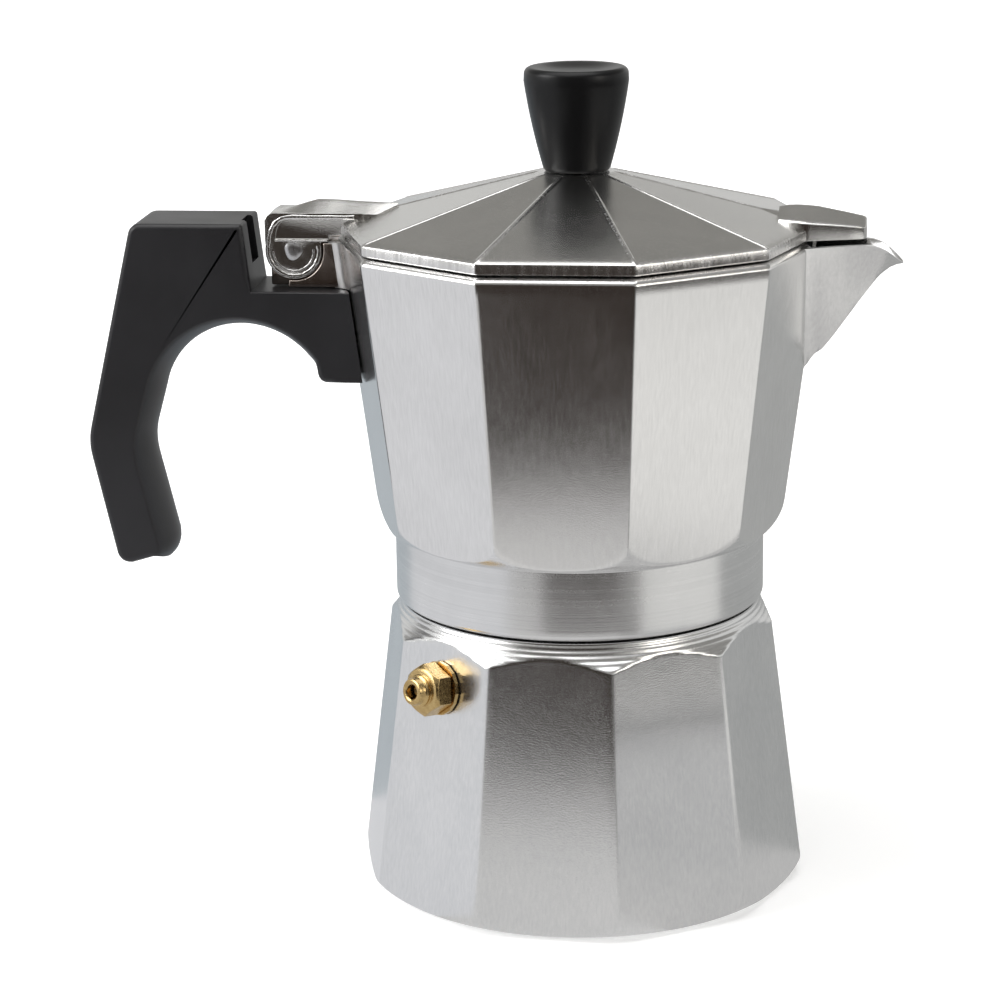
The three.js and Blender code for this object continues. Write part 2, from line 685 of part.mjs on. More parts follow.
function makeLug() {
  const { halfWidth, tongueHalfWidth } = hinge;
  const insideX = -rimCornerRadius + 5;
  const rearX = pinX - tongueRadius;
  const bottomZ = ledgeZ + SEAT_GAP;
  const base = solid(sidePlate(outline([[insideX, bottomZ], [rearX, bottomZ], [rearX, lugTopZ],
    [insideX, lugTopZ]]), halfWidth));
  const swept = armSweepRadius + hinge.sweepClearance;
  const cheekPocket = disc(cheekRadius + SEAT_GAP, pinX, pinZ);
  const sweepPocket = new THREE.Shape();
  sweepPocket.moveTo(pinX, pinZ);
  const seamAngle = Math.PI - Math.atan2(seamZ - pinZ, hinge.armTail);
  const sweepEnd = seamAngle + openAngle + THREE.MathUtils.degToRad(hinge.sweepMargin);
  sweepPocket.absarc(pinX, pinZ, swept, Math.PI / 2, sweepEnd, false);
  const sidePockets = [-1, 1].flatMap((side) => [cheekPocket, sweepPocket].map((shape) => {
    const depth = halfWidth - tongueHalfWidth + 1;
    const shift = side * (tongueHalfWidth + depth / 2);
    return solid(sidePlate(shape, depth / 2).translate(0, shift, 0));
  }));
  const tongue = solid(sidePlate(disc(tongueRadius, pinX, pinZ), tongueHalfWidth));
  const frontLow = [pinX + 0.5, -tongueHalfWidth, bottomZ];
  const front = solid(block(frontLow, [insideX, tongueHalfWidth, lugTopZ]));
  return unite(cut(base, ...sidePockets), tongue, front);
}

function makeRib() {
  const topZ = ledgeZ + 4;
  const insideX = -collectorCorner(ribBottomZ) + 1.5;
  return solid(sidePlate(outline([[insideX, ribBottomZ], [ribX + 2.5, ribBottomZ],
    [ribX, ribBottomZ + 5], [ribX, topZ], [-collectorCorner(topZ) + 1.5, topZ]]), rib.halfThickness));
}

function makeCollector() {
  const shell = solid(turned(collectorEnvelope())).intersect(solid(collectorFacets()));
  const pinHole = solid(pinAlongY(pinHoleRadius, hinge.halfWidth + 1, pinX, pinZ));
  const screwHoleTop = legBottomZ + handleScrew.grip + 1.5;
  const screwHole = solid(post(handleScrew.radius + SEAT_GAP, ribBottomZ - 1, screwHoleTop, handleScrewX));
  const tipTrim = solid(block([spoutMouthX - 20, -20, rimZ], [tipX + 5, 20, rimZ + 5]));
  const outside = unite(shell, makeSpoutOutside(), makeLug(), makeRib());
  const inside = unite(solid(collectorCavity()), collectorUnderside(), makeSpoutChannel());
  return cut(outside, inside, pinHole, screwHole, tipTrim);
}

function makeColumn() {
  const baseZ = floorUnderZ + SEAT_GAP;
  const flangeZ = floorTopZ + SEAT_GAP;
  const topZ = rimZ - column.topDrop;
  const flangeRadius = column.baseRadius + column.flangeWidth;
  const tube = solid(turned([[0, baseZ], [column.baseRadius, baseZ], [column.baseRadius, flangeZ],
    [flangeRadius, flangeZ], [flangeRadius, flangeZ + column.flange],
    [column.baseRadius, flangeZ + column.flange + 1], [column.topRadius, topZ - 1],
    [column.topRadius - 1, topZ], [0, topZ]], ROUND_SEGMENTS / 2));
  const bore = solid(post(column.bore, baseZ - 1, topZ - column.cap));
  const ports = solid(pinAlongY(column.portRadius, column.baseRadius + 2, 0, topZ - column.portDrop));
  return cut(tube, bore, ports);
}

// ---------------------------------------------------------------- lid, hinge pin and knob
const lidSlope = lid.rise / (lidCornerRadius - apexRadius);
const lidRidge = (x) => apexZ - lidSlope * (Math.abs(x) - apexRadius);

function makeLidDome() {
  const shoulder = lidCornerRadius - 1.6;
  const outer = faceted([[0, lidBottomZ], [lidCornerRadius, lidBottomZ], [lidCornerRadius, lidBandZ],
    [shoulder, lidRidge(shoulder)], [apexRadius, apexZ], [0, apexZ]]);
  const innerRim = lidCornerRadius - lid.wall - 1.4;
  const hollow = faceted([[0, lidBottomZ - 1], [innerRim, lidBottomZ - 1], [innerRim, lidBottomZ + 0.6],
    [apexRadius, apexZ - lid.wall], [0, apexZ - lid.wall]]);
  return cut(solid(outer), solid(hollow));
}

function makePouringTab() {
  const tabX = rimCornerRadius + lid.tabReach;
  const rootX = lidCornerRadius - 3.5;
  const ridgeZ = lidBandZ + lid.tabRidge;
  return solid(mirroredHull([[36, 0, lidRidge(36)], [rootX, 0, ridgeZ], [rootX + 3.5, 0, ridgeZ - 0.2],
    [tabX, 0, ridgeZ - 2.1], [rootX, lid.tabRootHalfWidth, ridgeZ - 2.2],
    [tabX - 1.2, lid.tabEndHalfWidth, ridgeZ - 3.4], [tabX, lid.tabEndHalfWidth - 1.2, ridgeZ - 3.2],
    [rootX, lid.tabRootHalfWidth, lidBottomZ], [tabX - 1.2, lid.tabEndHalfWidth, lidBottomZ],
    [tabX, lid.tabEndHalfWidth - 1.2, lidBottomZ]]));
}

function makeLidArm() {
  const { halfWidth, tongueHalfWidth, armTail, armTop, tailChamfer } = hinge;
  const rearX = pinX - armTail;
  const topZ = pinZ + armTop;
  const frontX = -lidCornerRadius + 6;
  const stepX = -rimCornerRadius - 0.8;
  const side = outline([[frontX, lidBottomZ], [stepX, lidBottomZ], [stepX, seamZ], [rearX, seamZ],
    [rearX, topZ - tailChamfer], [rearX + tailChamfer, topZ], [frontX, topZ]]);
  const ridgeTop = topZ + hinge.ridgeRise;
  const ridgeX = pinX + hinge.ridgeStart;
  const ridge = mirroredHull([[rearX + tailChamfer, halfWidth, topZ - 0.1], [frontX, halfWidth, topZ - 0.1],
    [pinX + 0.3, 1, topZ + 0.4], [ridgeX, 1, ridgeTop], [frontX, 0, ridgeTop - 0.5],
    [frontX + 6.3, 0, lidRidge(frontX + 6.3)], [frontX + 2.3, halfWidth, topZ - 1.2]]);
  const cheeks = solid(sidePlate(disc(cheekRadius, pinX, pinZ), halfWidth));
  const slotFrontX = pinX + tongueRadius + 0.6;
  const slot = block([rearX - 5, -tongueHalfWidth - hinge.sideGap, pinZ - 8],
    [slotFrontX, tongueHalfWidth + hinge.sideGap, pinZ + slotHeight]);
  const pinHole = solid(pinAlongY(pinHoleRadius, halfWidth + 1, pinX, pinZ));
  return cut(unite(solid(sidePlate(side, halfWidth)), solid(ridge), cheeks), solid(slot), pinHole);
}

function makeLid() {
  const screwHole = solid(post(knobScrew.radius + SEAT_GAP, apexZ - 5, apexZ + 1));
  return cut(unite(makeLidDome(), makePouringTab(), makeLidArm()), screwHole);
}

const knobBaseZ = apexZ + SEAT_GAP;
const insertBore = knobScrew.radius + 0.2;
const insertRadius = insertBore + knob.insertWall;

function makeKnob() {
  const top = knobBaseZ + knob.height;
  const flank = new THREE.QuadraticBezierCurve(
    new THREE.Vector2(knob.baseRadius, knobBaseZ + 0.4),
    new THREE.Vector2(knob.topRadius - 1.2, knobBaseZ + 0.45 * knob.height),
    new THREE.Vector2(knob.topRadius, top - knob.rimRound - 1.4),
  );
  const sides = flank.getPoints(5).map((point) => [point.x, point.y]);
  const socket = insertRadius + 0.2;
  const socketTop = knobBaseZ + 1.5 + knob.insertLength;
  const screwHole = knobScrew.radius + SEAT_GAP;
  return turned([[screwHole, knobBaseZ + 1], [screwHole, knobBaseZ],
    [knob.baseRadius - 0.4, knobBaseZ], ...sides, [knob.topRadius - 0.2, top - knob.rimRound],
    [knob.topRadius - knob.rimRound, top], [knob.topRadius - 2.8, top - 0.2], [3, top - knob.dish],
    [0, top - knob.dish], [0, socketTop], [socket, socketTop], [socket, knobBaseZ + 1],
    [screwHole, knobBaseZ + 1]], 28);
}

function makeKnobInsert() {
  const [bottom, top] = [knobBaseZ + 1.2, knobBaseZ + 1.2 + knob.insertLength];
  return turned(closedProfile([[insertBore, bottom], [insertRadius, bottom], [insertRadius, top],
    [insertBore, top]]), SMALL_SEGMENTS);
}

function makeKnobWasher() {
  const top = apexZ - lid.wall - SEAT_GAP;
  const [inner, outer] = [knobScrew.radius + SEAT_GAP, knobScrew.headRadius + knobScrew.washerOver];
  return turned(closedProfile([[inner, top - knobScrew.washer], [outer, top - knobScrew.washer],
    [outer, top], [inner, top]]), 2 * SMALL_SEGMENTS);
}

function makeKnobScrew() {
  const headTop = apexZ - lid.wall - SEAT_GAP - knobScrew.washer - SEAT_GAP;
  const headBottom = headTop - knobScrew.headHeight;
  const body = solid(turned([[0, headBottom], [knobScrew.headRadius - 0.6, headBottom],
    [knobScrew.headRadius, headBottom + 0.7], [knobScrew.headRadius, headTop], [knobScrew.radius, headTop],
    [knobScrew.radius, headTop + knobScrew.length], [0, headTop + knobScrew.length]], SMALL_SEGMENTS));
  const slot = solid(block([-5, -0.5, headBottom - 1], [5, 0.5, headBottom + 1]));
  return geometryOf(cut(body, slot));
}

function makeHingePin() {
  const end = hinge.halfWidth + 0.2;
  const profile = [[0, -end], [hinge.pinRadius - 0.3, -end], [hinge.pinRadius, -end + 0.3],
    [hinge.pinRadius, end - 0.3], [hinge.pinRadius - 0.3, end], [0, end]];
  return turned(profile, SMALL_SEGMENTS).rotateX(Math.PI / 2).translate(pinX, 0, pinZ);
}

// ---------------------------------------------------------------- handle
function handleShape() {
  const { archRadius, cornerRound, footWidth } = handle;
  const topZ = rimZ + handle.topRise;
  const archZ = ledgeZ - handle.bridge - archRadius;
  const legAngle = Math.asin((legBottomZ + cornerRound - archZ) / archRadius);
  const legOuterX = -rimCornerRadius - handle.legReach;
  const archX = legOuterX - archRadius * Math.cos(legAngle);
  const backX = archX - archRadius;
  // The notch's wall leans, and clears the lid arm's sweep at the height of the pin.
  const leanAtPin = (handle.notchLean * (pinZ - ledgeZ)) / (topZ - ledgeZ);
  const notchX = pinX - armSweepRadius - hinge.sweepClearance + leanAtPin;
  const topOuterX = backX - handle.topOuterReach;
  const [kneeX, kneeZ] = [backX - handle.gripDepth, archZ - handle.kneeDrop];
  const [footX, footZ] = [kneeX + handle.footInset, rimZ - handle.footDrop];
  const shape = new THREE.Shape();
  shape.moveTo(-collectorCorner(legBottomZ) + 6, legBottomZ);
  shape.lineTo(-collectorCorner(ledgeZ) + 6, ledgeZ);
  shape.lineTo(notchX, ledgeZ);
  shape.lineTo(notchX - handle.notchLean, topZ);
  shape.lineTo(topOuterX + cornerRound, topZ);
  shape.quadraticCurveTo(topOuterX - 0.2, topZ, topOuterX - 0.6, topZ - cornerRound);
  shape.lineTo(kneeX + 0.2, kneeZ + 2);
  shape.quadraticCurveTo(kneeX - 0.2, kneeZ, kneeX + 0.2, kneeZ - 2);
  shape.lineTo(footX - 0.8, footZ + cornerRound);
  shape.quadraticCurveTo(footX - 0.4, footZ, footX + cornerRound, footZ + 0.2);
  shape.lineTo(footX + footWidth - 1, footZ + 2.6);
  shape.quadraticCurveTo(footX + footWidth + 0.5, footZ + 3, footX + footWidth, footZ + 5);
  shape.lineTo(backX - handle.innerKneeReach, archZ - handle.innerKneeDrop);
  shape.absarc(archX, archZ, archRadius, Math.PI, legAngle, true);
  shape.quadraticCurveTo(legOuterX + 0.3, legBottomZ, legOuterX + cornerRound, legBottomZ);
  return shape;
}

const screwHeadZ = legBottomZ - handleScrew.headProud;
const washerZ = screwHeadZ + handleScrew.headHeight + SEAT_GAP;
const counterboreZ = washerZ + handleScrew.washer + SEAT_GAP;

function makeHandle() {
  const gap = handle.bodyGap;
  const bodyClearance = faceted([[0, 60], [collectorCorner(60) + gap, 60],
    [collectorCorner(rimZ + 10) + gap, rimZ + 10], [0, rimZ + 10]]);
  const slotSide = rib.halfThickness + rib.slotClearance;
  const ribSlot = block([ribX - rib.slotClearance, -slotSide, ribBottomZ - SEAT_GAP],
    [-30, slotSide, ledgeZ + 5]);
  const [wide, narrow] = [handleWasherRadius + SEAT_GAP, handleScrew.radius + SEAT_GAP];
  const screwHole = turned([[0, legBottomZ - 1], [wide, legBottomZ - 1], [wide, counterboreZ],
    [narrow, counterboreZ], [narrow, ribBottomZ + 1], [0, ribBottomZ + 1]], SMALL_SEGMENTS)
    .translate(handleScrewX, 0, 0);
  const ridgeSweep = new THREE.Shape();
  ridgeSweep.moveTo(pinX, pinZ);
  const swept = ridgeSweepRadius + hinge.sweepClearance;
  ridgeSweep.absarc(pinX, pinZ, swept, 0.55 * Math.PI, 1.1 * Math.PI, false);
  const groove = sidePlate(ridgeSweep, handle.grooveHalfWidth);
  const whole = solid(sidePlate(handleShape(), handle.halfThickness, handle.bevel));
  return cut(whole, solid(bodyClearance), solid(ribSlot), solid(screwHole), solid(groove));
}

function makeHandleWasher() {
  const inner = handleScrew.radius + SEAT_GAP;
  const top = washerZ + handleScrew.washer;
  return turned(closedProfile([[inner, washerZ], [handleWasherRadius, washerZ],
    [handleWasherRadius, top], [inner, top]]), SMALL_SEGMENTS).translate(handleScrewX, 0, 0);
}

function makeHandleScrew() {
  const headTop = screwHeadZ + handleScrew.headHeight;
  const tip = legBottomZ + handleScrew.grip;
  const body = solid(turned([[0, screwHeadZ], [screwHeadRadius - 0.5, screwHeadZ],
    [screwHeadRadius, screwHeadZ + 0.5], [screwHeadRadius, headTop], [handleScrew.radius, headTop],
    [handleScrew.radius, tip - 1.5], [0, tip]], SMALL_SEGMENTS));
  const crossArm = [1, 0.22, screwHeadZ + 0.8];
  const recess = [crossArm, [crossArm[1], crossArm[0], crossArm[2]]]
    .map(([x, y, z]) => solid(block([-x, -y, screwHeadZ - 1], [x, y, z])));
  return geometryOf(cut(body, ...recess)).translate(handleScrewX, 0, 0);
}

// ---------------------------------------------------------------- assembly
const boilerGroup = new THREE.Group();
addMesh(boilerGroup, 'boiler', geometryOf(makeBoiler()), colours.castAluminium);
addMesh(boilerGroup, 'valve_body', makeValveBody(), colours.brass);
addMesh(boilerGroup, 'valve_washer', makeValveWasher(), colours.brass);
addMesh(boilerGroup, 'valve_seat', makeValveSeat(), colours.brass);
addMesh(boilerGroup, 'valve_poppet', makeValvePoppet(), colours.steel);
addMesh(boilerGroup, 'valve_spring', makeValveSpring(), colours.steel);
assembly.add(boilerGroup);

const brewGroup = new THREE.Group();
addMesh(brewGroup, 'funnel', makeFunnel(), colours.sheetAluminium);
addMesh(brewGroup, 'funnel_filter', makeFunnelFilter(), colours.sheetAluminium);
addMesh(brewGroup, 'gasket', makeGasket(), colours.siliconeWhite);
addMesh(brewGroup, 'filter_plate', makeFilterPlate(), colours.sheetAluminium);
assembly.add(brewGroup);

const collectorGroup = new THREE.Group();
addMesh(collectorGroup, 'collector', geometryOf(makeCollector()), colours.castAluminium);
addMesh(collectorGroup, 'coffee_column', geometryOf(makeColumn()), colours.castAluminium);
addMesh(collectorGroup, 'hinge_pin', makeHingePin(), colours.steel);
addMesh(collectorGroup, 'handle', geometryOf(makeHandle()), colours.blackPlastic);
addMesh(collectorGroup, 'handle_washer', makeHandleWasher(), colours.steel);
addMesh(collectorGroup, 'handle_screw', makeHandleScrew(), colours.steel);
assembly.add(collectorGroup);

const lidGroup = new THREE.Group();
addMesh(lidGroup, 'lid', geometryOf(makeLid()), colours.castAluminium);
addMesh(lidGroup, 'knob', makeKnob(), colours.blackPlastic);
addMesh(lidGroup, 'knob_insert', makeKnobInsert(), colours.brass);
addMesh(lidGroup, 'knob_washer', makeKnobWasher(), colours.steel);
addMesh(lidGroup, 'knob_screw', makeKnobScrew(), colours.steel);
assembly.add(lidGroup);

export default assembly;
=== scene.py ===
import math

import bmesh
import bpy
import numpy as np
from mathutils import Matrix, Vector


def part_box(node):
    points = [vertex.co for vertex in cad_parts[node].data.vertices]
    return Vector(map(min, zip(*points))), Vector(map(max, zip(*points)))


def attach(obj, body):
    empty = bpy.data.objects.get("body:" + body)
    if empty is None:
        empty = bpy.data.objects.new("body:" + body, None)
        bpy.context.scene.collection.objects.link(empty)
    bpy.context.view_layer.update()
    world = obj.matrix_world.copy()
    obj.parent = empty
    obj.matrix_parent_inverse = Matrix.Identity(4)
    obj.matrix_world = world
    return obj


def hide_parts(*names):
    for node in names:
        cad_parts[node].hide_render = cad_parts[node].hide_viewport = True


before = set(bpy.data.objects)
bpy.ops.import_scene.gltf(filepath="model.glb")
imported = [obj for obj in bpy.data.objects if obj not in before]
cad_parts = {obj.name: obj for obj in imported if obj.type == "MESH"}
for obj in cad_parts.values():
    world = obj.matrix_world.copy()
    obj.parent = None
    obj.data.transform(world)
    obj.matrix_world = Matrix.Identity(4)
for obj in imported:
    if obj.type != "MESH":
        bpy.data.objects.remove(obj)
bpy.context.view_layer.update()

# Shapes are worked out in millimetres, in the frame's axes: spout towards +X, handle towards -X, up along +Z.
MM = 0.001
FACETS = 10
FACET_STEP = 2 * math.pi / FACETS
COS_HALF = math.cos(FACET_STEP / 2)
# Radius of the small ring that stands for a point on the axis.
ON_AXIS = 0.02
# A value no outline reaches, so that only the facets shape the casting there.
BEYOND = 60.0


def low(node):
    return np.array(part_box(node)[0]) / MM


def high(node):
    return np.array(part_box(node)[1]) / MM


# ------------------------------------------------------------------ sizes, from the frame
RIM_Z = high("handle")[2] - 3.1
COLLAR_Z = low("collector")[2]
MOUTH_Z = high("boiler")[2]
APEX_Z = high("lid")[2]
KNOB_Z = low("knob")[2]
TIP_X = high("collector")[0]
SHOULDER_Z = COLLAR_Z - 0.6
FLOOR_UNDER_Z = high("gasket")[2] + 0.3
FLOOR_TOP_Z = FLOOR_UNDER_Z + 2.8
PIN = (low("hinge_pin") + high("hinge_pin")) / 2
LEDGE_Z = RIM_Z - 10.4
LEG_BOTTOM_Z = RIM_Z - 28.9

BOILER = dict(turn=math.radians(-4.2), widest=45.6, widest_z=8.0, corner=39.9, corner_z=52.8,
              top=36.5, neck=33.0, bore=29.3, wall=3.0, floor=3.0)
BODY = dict(collar=37.5, collar_top=COLLAR_Z + 14, bottom=41.8, bottom_z=COLLAR_Z + 19.3, rim=48.7, wall=2.6,
            skirt=35.1, seat=32.4, hole=7.5)
LID = dict(bottom=RIM_Z + 0.5, band=2.2, corner=48.3, apex=7.2, wall=1.8, opening=95)
THREAD = dict(pitch=3.5, depth=0.9, turns=2.2)


def body_corner(z):
    return BODY["rim"] - (BODY["rim"] - BODY["bottom"]) * (RIM_Z - z) / (RIM_Z - BODY["bottom_z"])


def boiler_corner(z):
    rate = (BOILER["widest"] - BOILER["corner"]) / (BOILER["corner_z"] - BOILER["widest_z"])
    return BOILER["widest"] - rate * (z - BOILER["widest_z"])


# ------------------------------------------------------------------ mesh helpers
def smooth_min(a, b, width):
    overlap = np.maximum(width - np.abs(a - b), 0) / width
    return np.minimum(a, b) - overlap * overlap * width / 4


# Degrees past a corner at which a ring has its first points.
NEAR_CORNER = [0.0, 0.12, 0.26, 0.42, 0.6, 0.85, 1.2, 1.8]
NEAR_CORNER_FINE = [0.0, 0.15, 0.3, 0.45, 0.55, 0.7, 0.9, 1.2, 1.6, 2.0]


def ring_angles(facets=FACETS, turn=0.0, spacing=1.2, fine=False):
    """Angles round the axis, closer together near each corner."""
    half = 180 / facets
    near = NEAR_CORNER_FINE if fine else NEAR_CORNER
    side = near + list(np.arange(2.6, half - spacing / 2, spacing)) + [half]
    step = side + [2 * half - a for a in reversed(side[1:-1])]
    degrees = [corner + a for corner in np.arange(facets) * 2 * half for a in step]
    return np.radians(degrees) + turn


def facet_radius(theta, corner, facets=FACETS, turn=0.0, rounding=0.35):
    """Distance from the axis to a regular outline of that corner radius, its corners a little rounded."""
    step = 2 * math.pi / facets
    apothem = corner * math.cos(step / 2)
    from_corner = np.mod(theta - turn, step)
    sides = [apothem / np.maximum(np.cos(from_corner - centre), 0.05)
             for centre in (step / 2, -step / 2, 1.5 * step)]
    return smooth_min(smooth_min(sides[0], sides[1], rounding), sides[2], rounding)


def bezier(p0, p1, p2, count):
    t = np.linspace(0, 1, count)[:, None]
    return (1 - t) ** 2 * np.array(p0) + 2 * t * (1 - t) * np.array(p1) + t ** 2 * np.array(p2)


def arc(centre, radius, start, end, count):
    t = np.radians(np.linspace(start, end, count))
    return [(centre[0] + radius * math.cos(a), centre[1] + radius * math.sin(a)) for a in t]


def straight(start, end, fractions):
    """Points at those fractions of the way from start to end."""
    return [(start[0] + (end[0] - start[0]) * t, start[1] + (end[1] - start[1]) * t) for t in fractions]


def mirrored(x, half_section):
    """A closed section at x from the (y, z) points of its left half, the last one in the middle."""
    left = [(x, y, z) for y, z in half_section]
    return left + [(x, -y, z) for y, z in reversed(half_section[:-1])]


def new_object(name, vertices, faces, materials, face_material=None, sharp=35):
    """A mesh object from points in millimetres."""
    mesh = bpy.data.meshes.new(name)
    mesh.from_pydata([tuple(v) for v in np.asarray(vertices, float) * MM], [], faces)
    made = bmesh.new()
    made.from_mesh(mesh)
    bmesh.ops.remove_doubles(made, verts=made.verts, dist=1e-7)
    bmesh.ops.recalc_face_normals(made, faces=made.faces)
    made.to_mesh(mesh)
    made.free()
    obj = bpy.data.objects.new(name, mesh)
    bpy.context.scene.collection.objects.link(obj)
    for material in materials:
        mesh.materials.append(material)
    if face_material is not None and len(face_material) == len(mesh.polygons):
        mesh.polygons.foreach_set("material_index", np.asarray(face_material, np.int32))
    shade(obj, sharp)
    return obj


def shade(obj, sharp=35):
    obj.data.polygons.foreach_set("use_smooth", np.ones(len(obj.data.polygons), bool))
    obj.data.set_sharp_from_angle(angle=math.radians(sharp))
    obj.data.update()


def applied(obj, sharp=35):
    """Makes the object's modifiers part of its mesh."""
    graph = bpy.context.evaluated_depsgraph_get()
    mesh = bpy.data.meshes.new_from_object(obj.evaluated_get(graph))
    obj.modifiers.clear()
    obj.data = mesh
    shade(obj, sharp)
    return obj


def triangulated(obj):
    """Splits the object's many-sided faces into triangles."""
    made = bmesh.new()
    made.from_mesh(obj.data)
    bmesh.ops.triangulate(made, faces=[face for face in made.faces if len(face.verts) > 4])
    made.to_mesh(obj.data)
    made.free()
    return obj


def carve(obj, *tools, sharp=35):
    """Cuts each tool out of the object and removes the tool."""
    for tool in tools:
        modifier = obj.modifiers.new("carve", "BOOLEAN")
        modifier.operation = "DIFFERENCE"
        modifier.solver = "EXACT"
        modifier.object = tool
        applied(obj, sharp)
        bpy.data.objects.remove(tool)
    return obj


def bevelled(obj, width, segments=3, angle=30, sharp=50):
    modifier = obj.modifiers.new("bevel", "BEVEL")
    modifier.width = width * MM
    modifier.segments = segments
    modifier.limit_method = "ANGLE"
    modifier.angle_limit = math.radians(angle)
    modifier.use_clamp_overlap = True
    return applied(obj, sharp)


def ring_surface(name, theta, rings, materials, loop=False, sharp=35, bands=None):
    """Rings of (radius, z), each a number or one value per angle, joined into a closed surface.

    bands gives, for each ring, the material of the faces from it to the next."""
    count = len(theta)
    vertices = []
    for radius, z in rings:
        radius = np.broadcast_to(radius, theta.shape)
        z = np.broadcast_to(z, theta.shape)
        vertices.append(np.stack([radius * np.cos(theta), radius * np.sin(theta), z], 1))
    vertices = np.concatenate(vertices)
    faces = []
    slots = []
    last = len(rings) if loop else len(rings) - 1
    for i in range(last):
        a, b = i * count, ((i + 1) % len(rings)) * count
        for j in range(count):
            k = (j + 1) % count
            faces.append((a + j, a + k, b + k, b + j))
            slots.append(bands[i] if bands else 0)
    if not loop:
        top = (len(rings) - 1) * count
        faces.append(tuple(range(count))[::-1])
        faces.append(tuple(range(top, top + count)))
        slots += [bands[0] if bands else 0, bands[-1] if bands else 0]
    return new_object(name, vertices, faces, materials, slots, sharp)


def turned(name, profile, materials, segments=160, loop=False, sharp=35, centre=(0, 0), bands=None):
    """A solid turned about Z from [radius, z] points."""
    theta = np.linspace(0, 2 * math.pi, segments, endpoint=False)
    rings = [(max(r, ON_AXIS), z) for r, z in profile]
    obj = ring_surface(name, theta, rings, materials, loop, sharp, bands)
    obj.data.transform(Matrix.Translation((centre[0] * MM, centre[1] * MM, 0)))
    return obj


def plate(name, outline, half_width, materials, y=0.0, sharp=35):
    """An outline in the X-Z plane, made solid on both sides of y."""
    count = len(outline)
    vertices = [(x, y + side * half_width, z) for side in (-1, 1) for x, z in outline]
    faces = [tuple(range(count))[::-1], tuple(range(count, 2 * count))]
    for i in range(count):
        j = (i + 1) % count
        faces.append((i, j, count + j, count + i))
    return new_object(name, vertices, faces, materials, None, sharp)


def lofted(name, sections, materials, sharp=35):
    """Closed sections with the same number of points, joined in order and capped."""
    count = len(sections[0])
    vertices = np.concatenate([np.asarray(s, float) for s in sections])
    faces = []
    for i in range(len(sections) - 1):
        for j in range(count):
            k = (j + 1) % count
            a, b = i * count, (i + 1) * count
            faces.append((a + j, a + k, b + k, b + j))
    end = (len(sections) - 1) * count
    faces.append(tuple(range(count))[::-1])
    faces.append(tuple(range(end, end + count)))
    return new_object(name, vertices, faces, materials, None, sharp)


def helix_ridge(name, radius, start_z, materials):
    """A rounded thread that starts and ends in a fade."""
    pitch, depth = THREAD["pitch"], THREAD["depth"] * 0.97
    steps = int(72 * THREAD["turns"])
    sections = []
    for i in range(steps + 1):
        angle = 2 * math.pi * THREAD["turns"] * i / steps
        fade = min(1, i / 8, (steps - i) / 8) * 0.95 + 0.05
        section = []
        for t in np.linspace(0, 2 * math.pi, 12, endpoint=False):
            r = radius + depth * fade * math.cos(t)
            section.append((r * math.cos(angle), r * math.sin(angle),
                            start_z + pitch * angle / (2 * math.pi) + depth * 0.9 * math.sin(t)))
        sections.append(section)
    return lofted(name, sections, materials, 60)


def bead(name, path, width, height, y):
    """A low rounded bead along a path in the X-Z plane, standing outward on the face at y."""
    path = np.array(path)
    along = np.gradient(path, axis=0)
    along /= np.maximum(np.linalg.norm(along, axis=1, keepdims=True), 1e-9)
    normal = np.stack([-along[:, 1], along[:, 0]], 1)
    sections = []
    for i, (point, across) in enumerate(zip(path, normal)):
        uneven = 1 + 0.14 * math.sin(i * 1.7) + 0.1 * math.sin(i * 0.9 + 1)
        section = []
        for t in np.linspace(0, 2 * math.pi, 10, endpoint=False):
            x, z = point + across * width * uneven * math.cos(t)
            section.append((x, y + math.copysign(height * uneven, y) * math.sin(t), z))
        sections.append(section)
    # The bead is raised, and its lighter band metal paints part of its bright highlight.
    return lofted(name, sections, [BAND_AND_HIGHLIGHT], 60)


def place(obj, body, slot, *nodes):
    """Makes the piece ride on a body and stand for the nodes. slot is not used."""
    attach(obj, body)
    if nodes:
        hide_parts(*nodes)
    return obj


# ------------------------------------------------------------------ materials
class Nodes:
    """A short way to add and link shader nodes."""

    def __init__(self, tree):
        self.tree = tree

    def add(self, kind, **settings):
        node = self.tree.nodes.new(kind)
        for key, value in settings.items():
            setattr(node, key, value)
        return node

    def link(self, source, target):
        self.tree.links.new(source, target)

    def noise(self, vector, scale, detail=2.0, roughness=0.55):
        mapping = self.add("ShaderNodeMapping")
        mapping.inputs["Scale"].default_value = scale
        self.link(vector, mapping.inputs["Vector"])
        node = self.add("ShaderNodeTexNoise")
        node.inputs["Scale"].default_value = 1
        node.inputs["Detail"].default_value = detail
        node.inputs["Roughness"].default_value = roughness
        self.link(mapping.outputs["Vector"], node.inputs["Vector"])
        return node.outputs["Fac"]

    def scaled(self, value, from_range, to_range):
        node = self.add("ShaderNodeMapRange")
        node.inputs["From Min"].default_value = from_range[0]
        node.inputs["From Max"].default_value = from_range[1]
        node.inputs["To Min"].default_value = to_range[0]
        node.inputs["To Max"].default_value = to_range[1]
        self.link(value, node.inputs["Value"])
        return node.outputs["Result"]

    def math(self, operation, a, b):
        node = self.add("ShaderNodeMath", operation=operation)
        for socket, value in ((node.inputs[0], a), (node.inputs[1], b)):
            if isinstance(value, (int, float)):
                socket.default_value = value
            else:
                self.link(value, socket)
        return node.outputs[0]

    def mixed(self, factor, a, b):
        node = self.add("ShaderNodeMix", data_type="RGBA")
        self.link(factor, node.inputs["Factor"])
        node.inputs[6].default_value = (*a, 1)
        node.inputs[7].default_value = (*b, 1)
        return node.outputs[2]

    def bump(self, height, strength, distance, normal=None):
        node = self.add("ShaderNodeBump")
        node.inputs["Strength"].default_value = strength
        node.inputs["Distance"].default_value = distance
        self.link(height, node.inputs["Height"])
        if normal is not None:
            self.link(normal, node.inputs["Normal"])
        return node.outputs["Normal"]


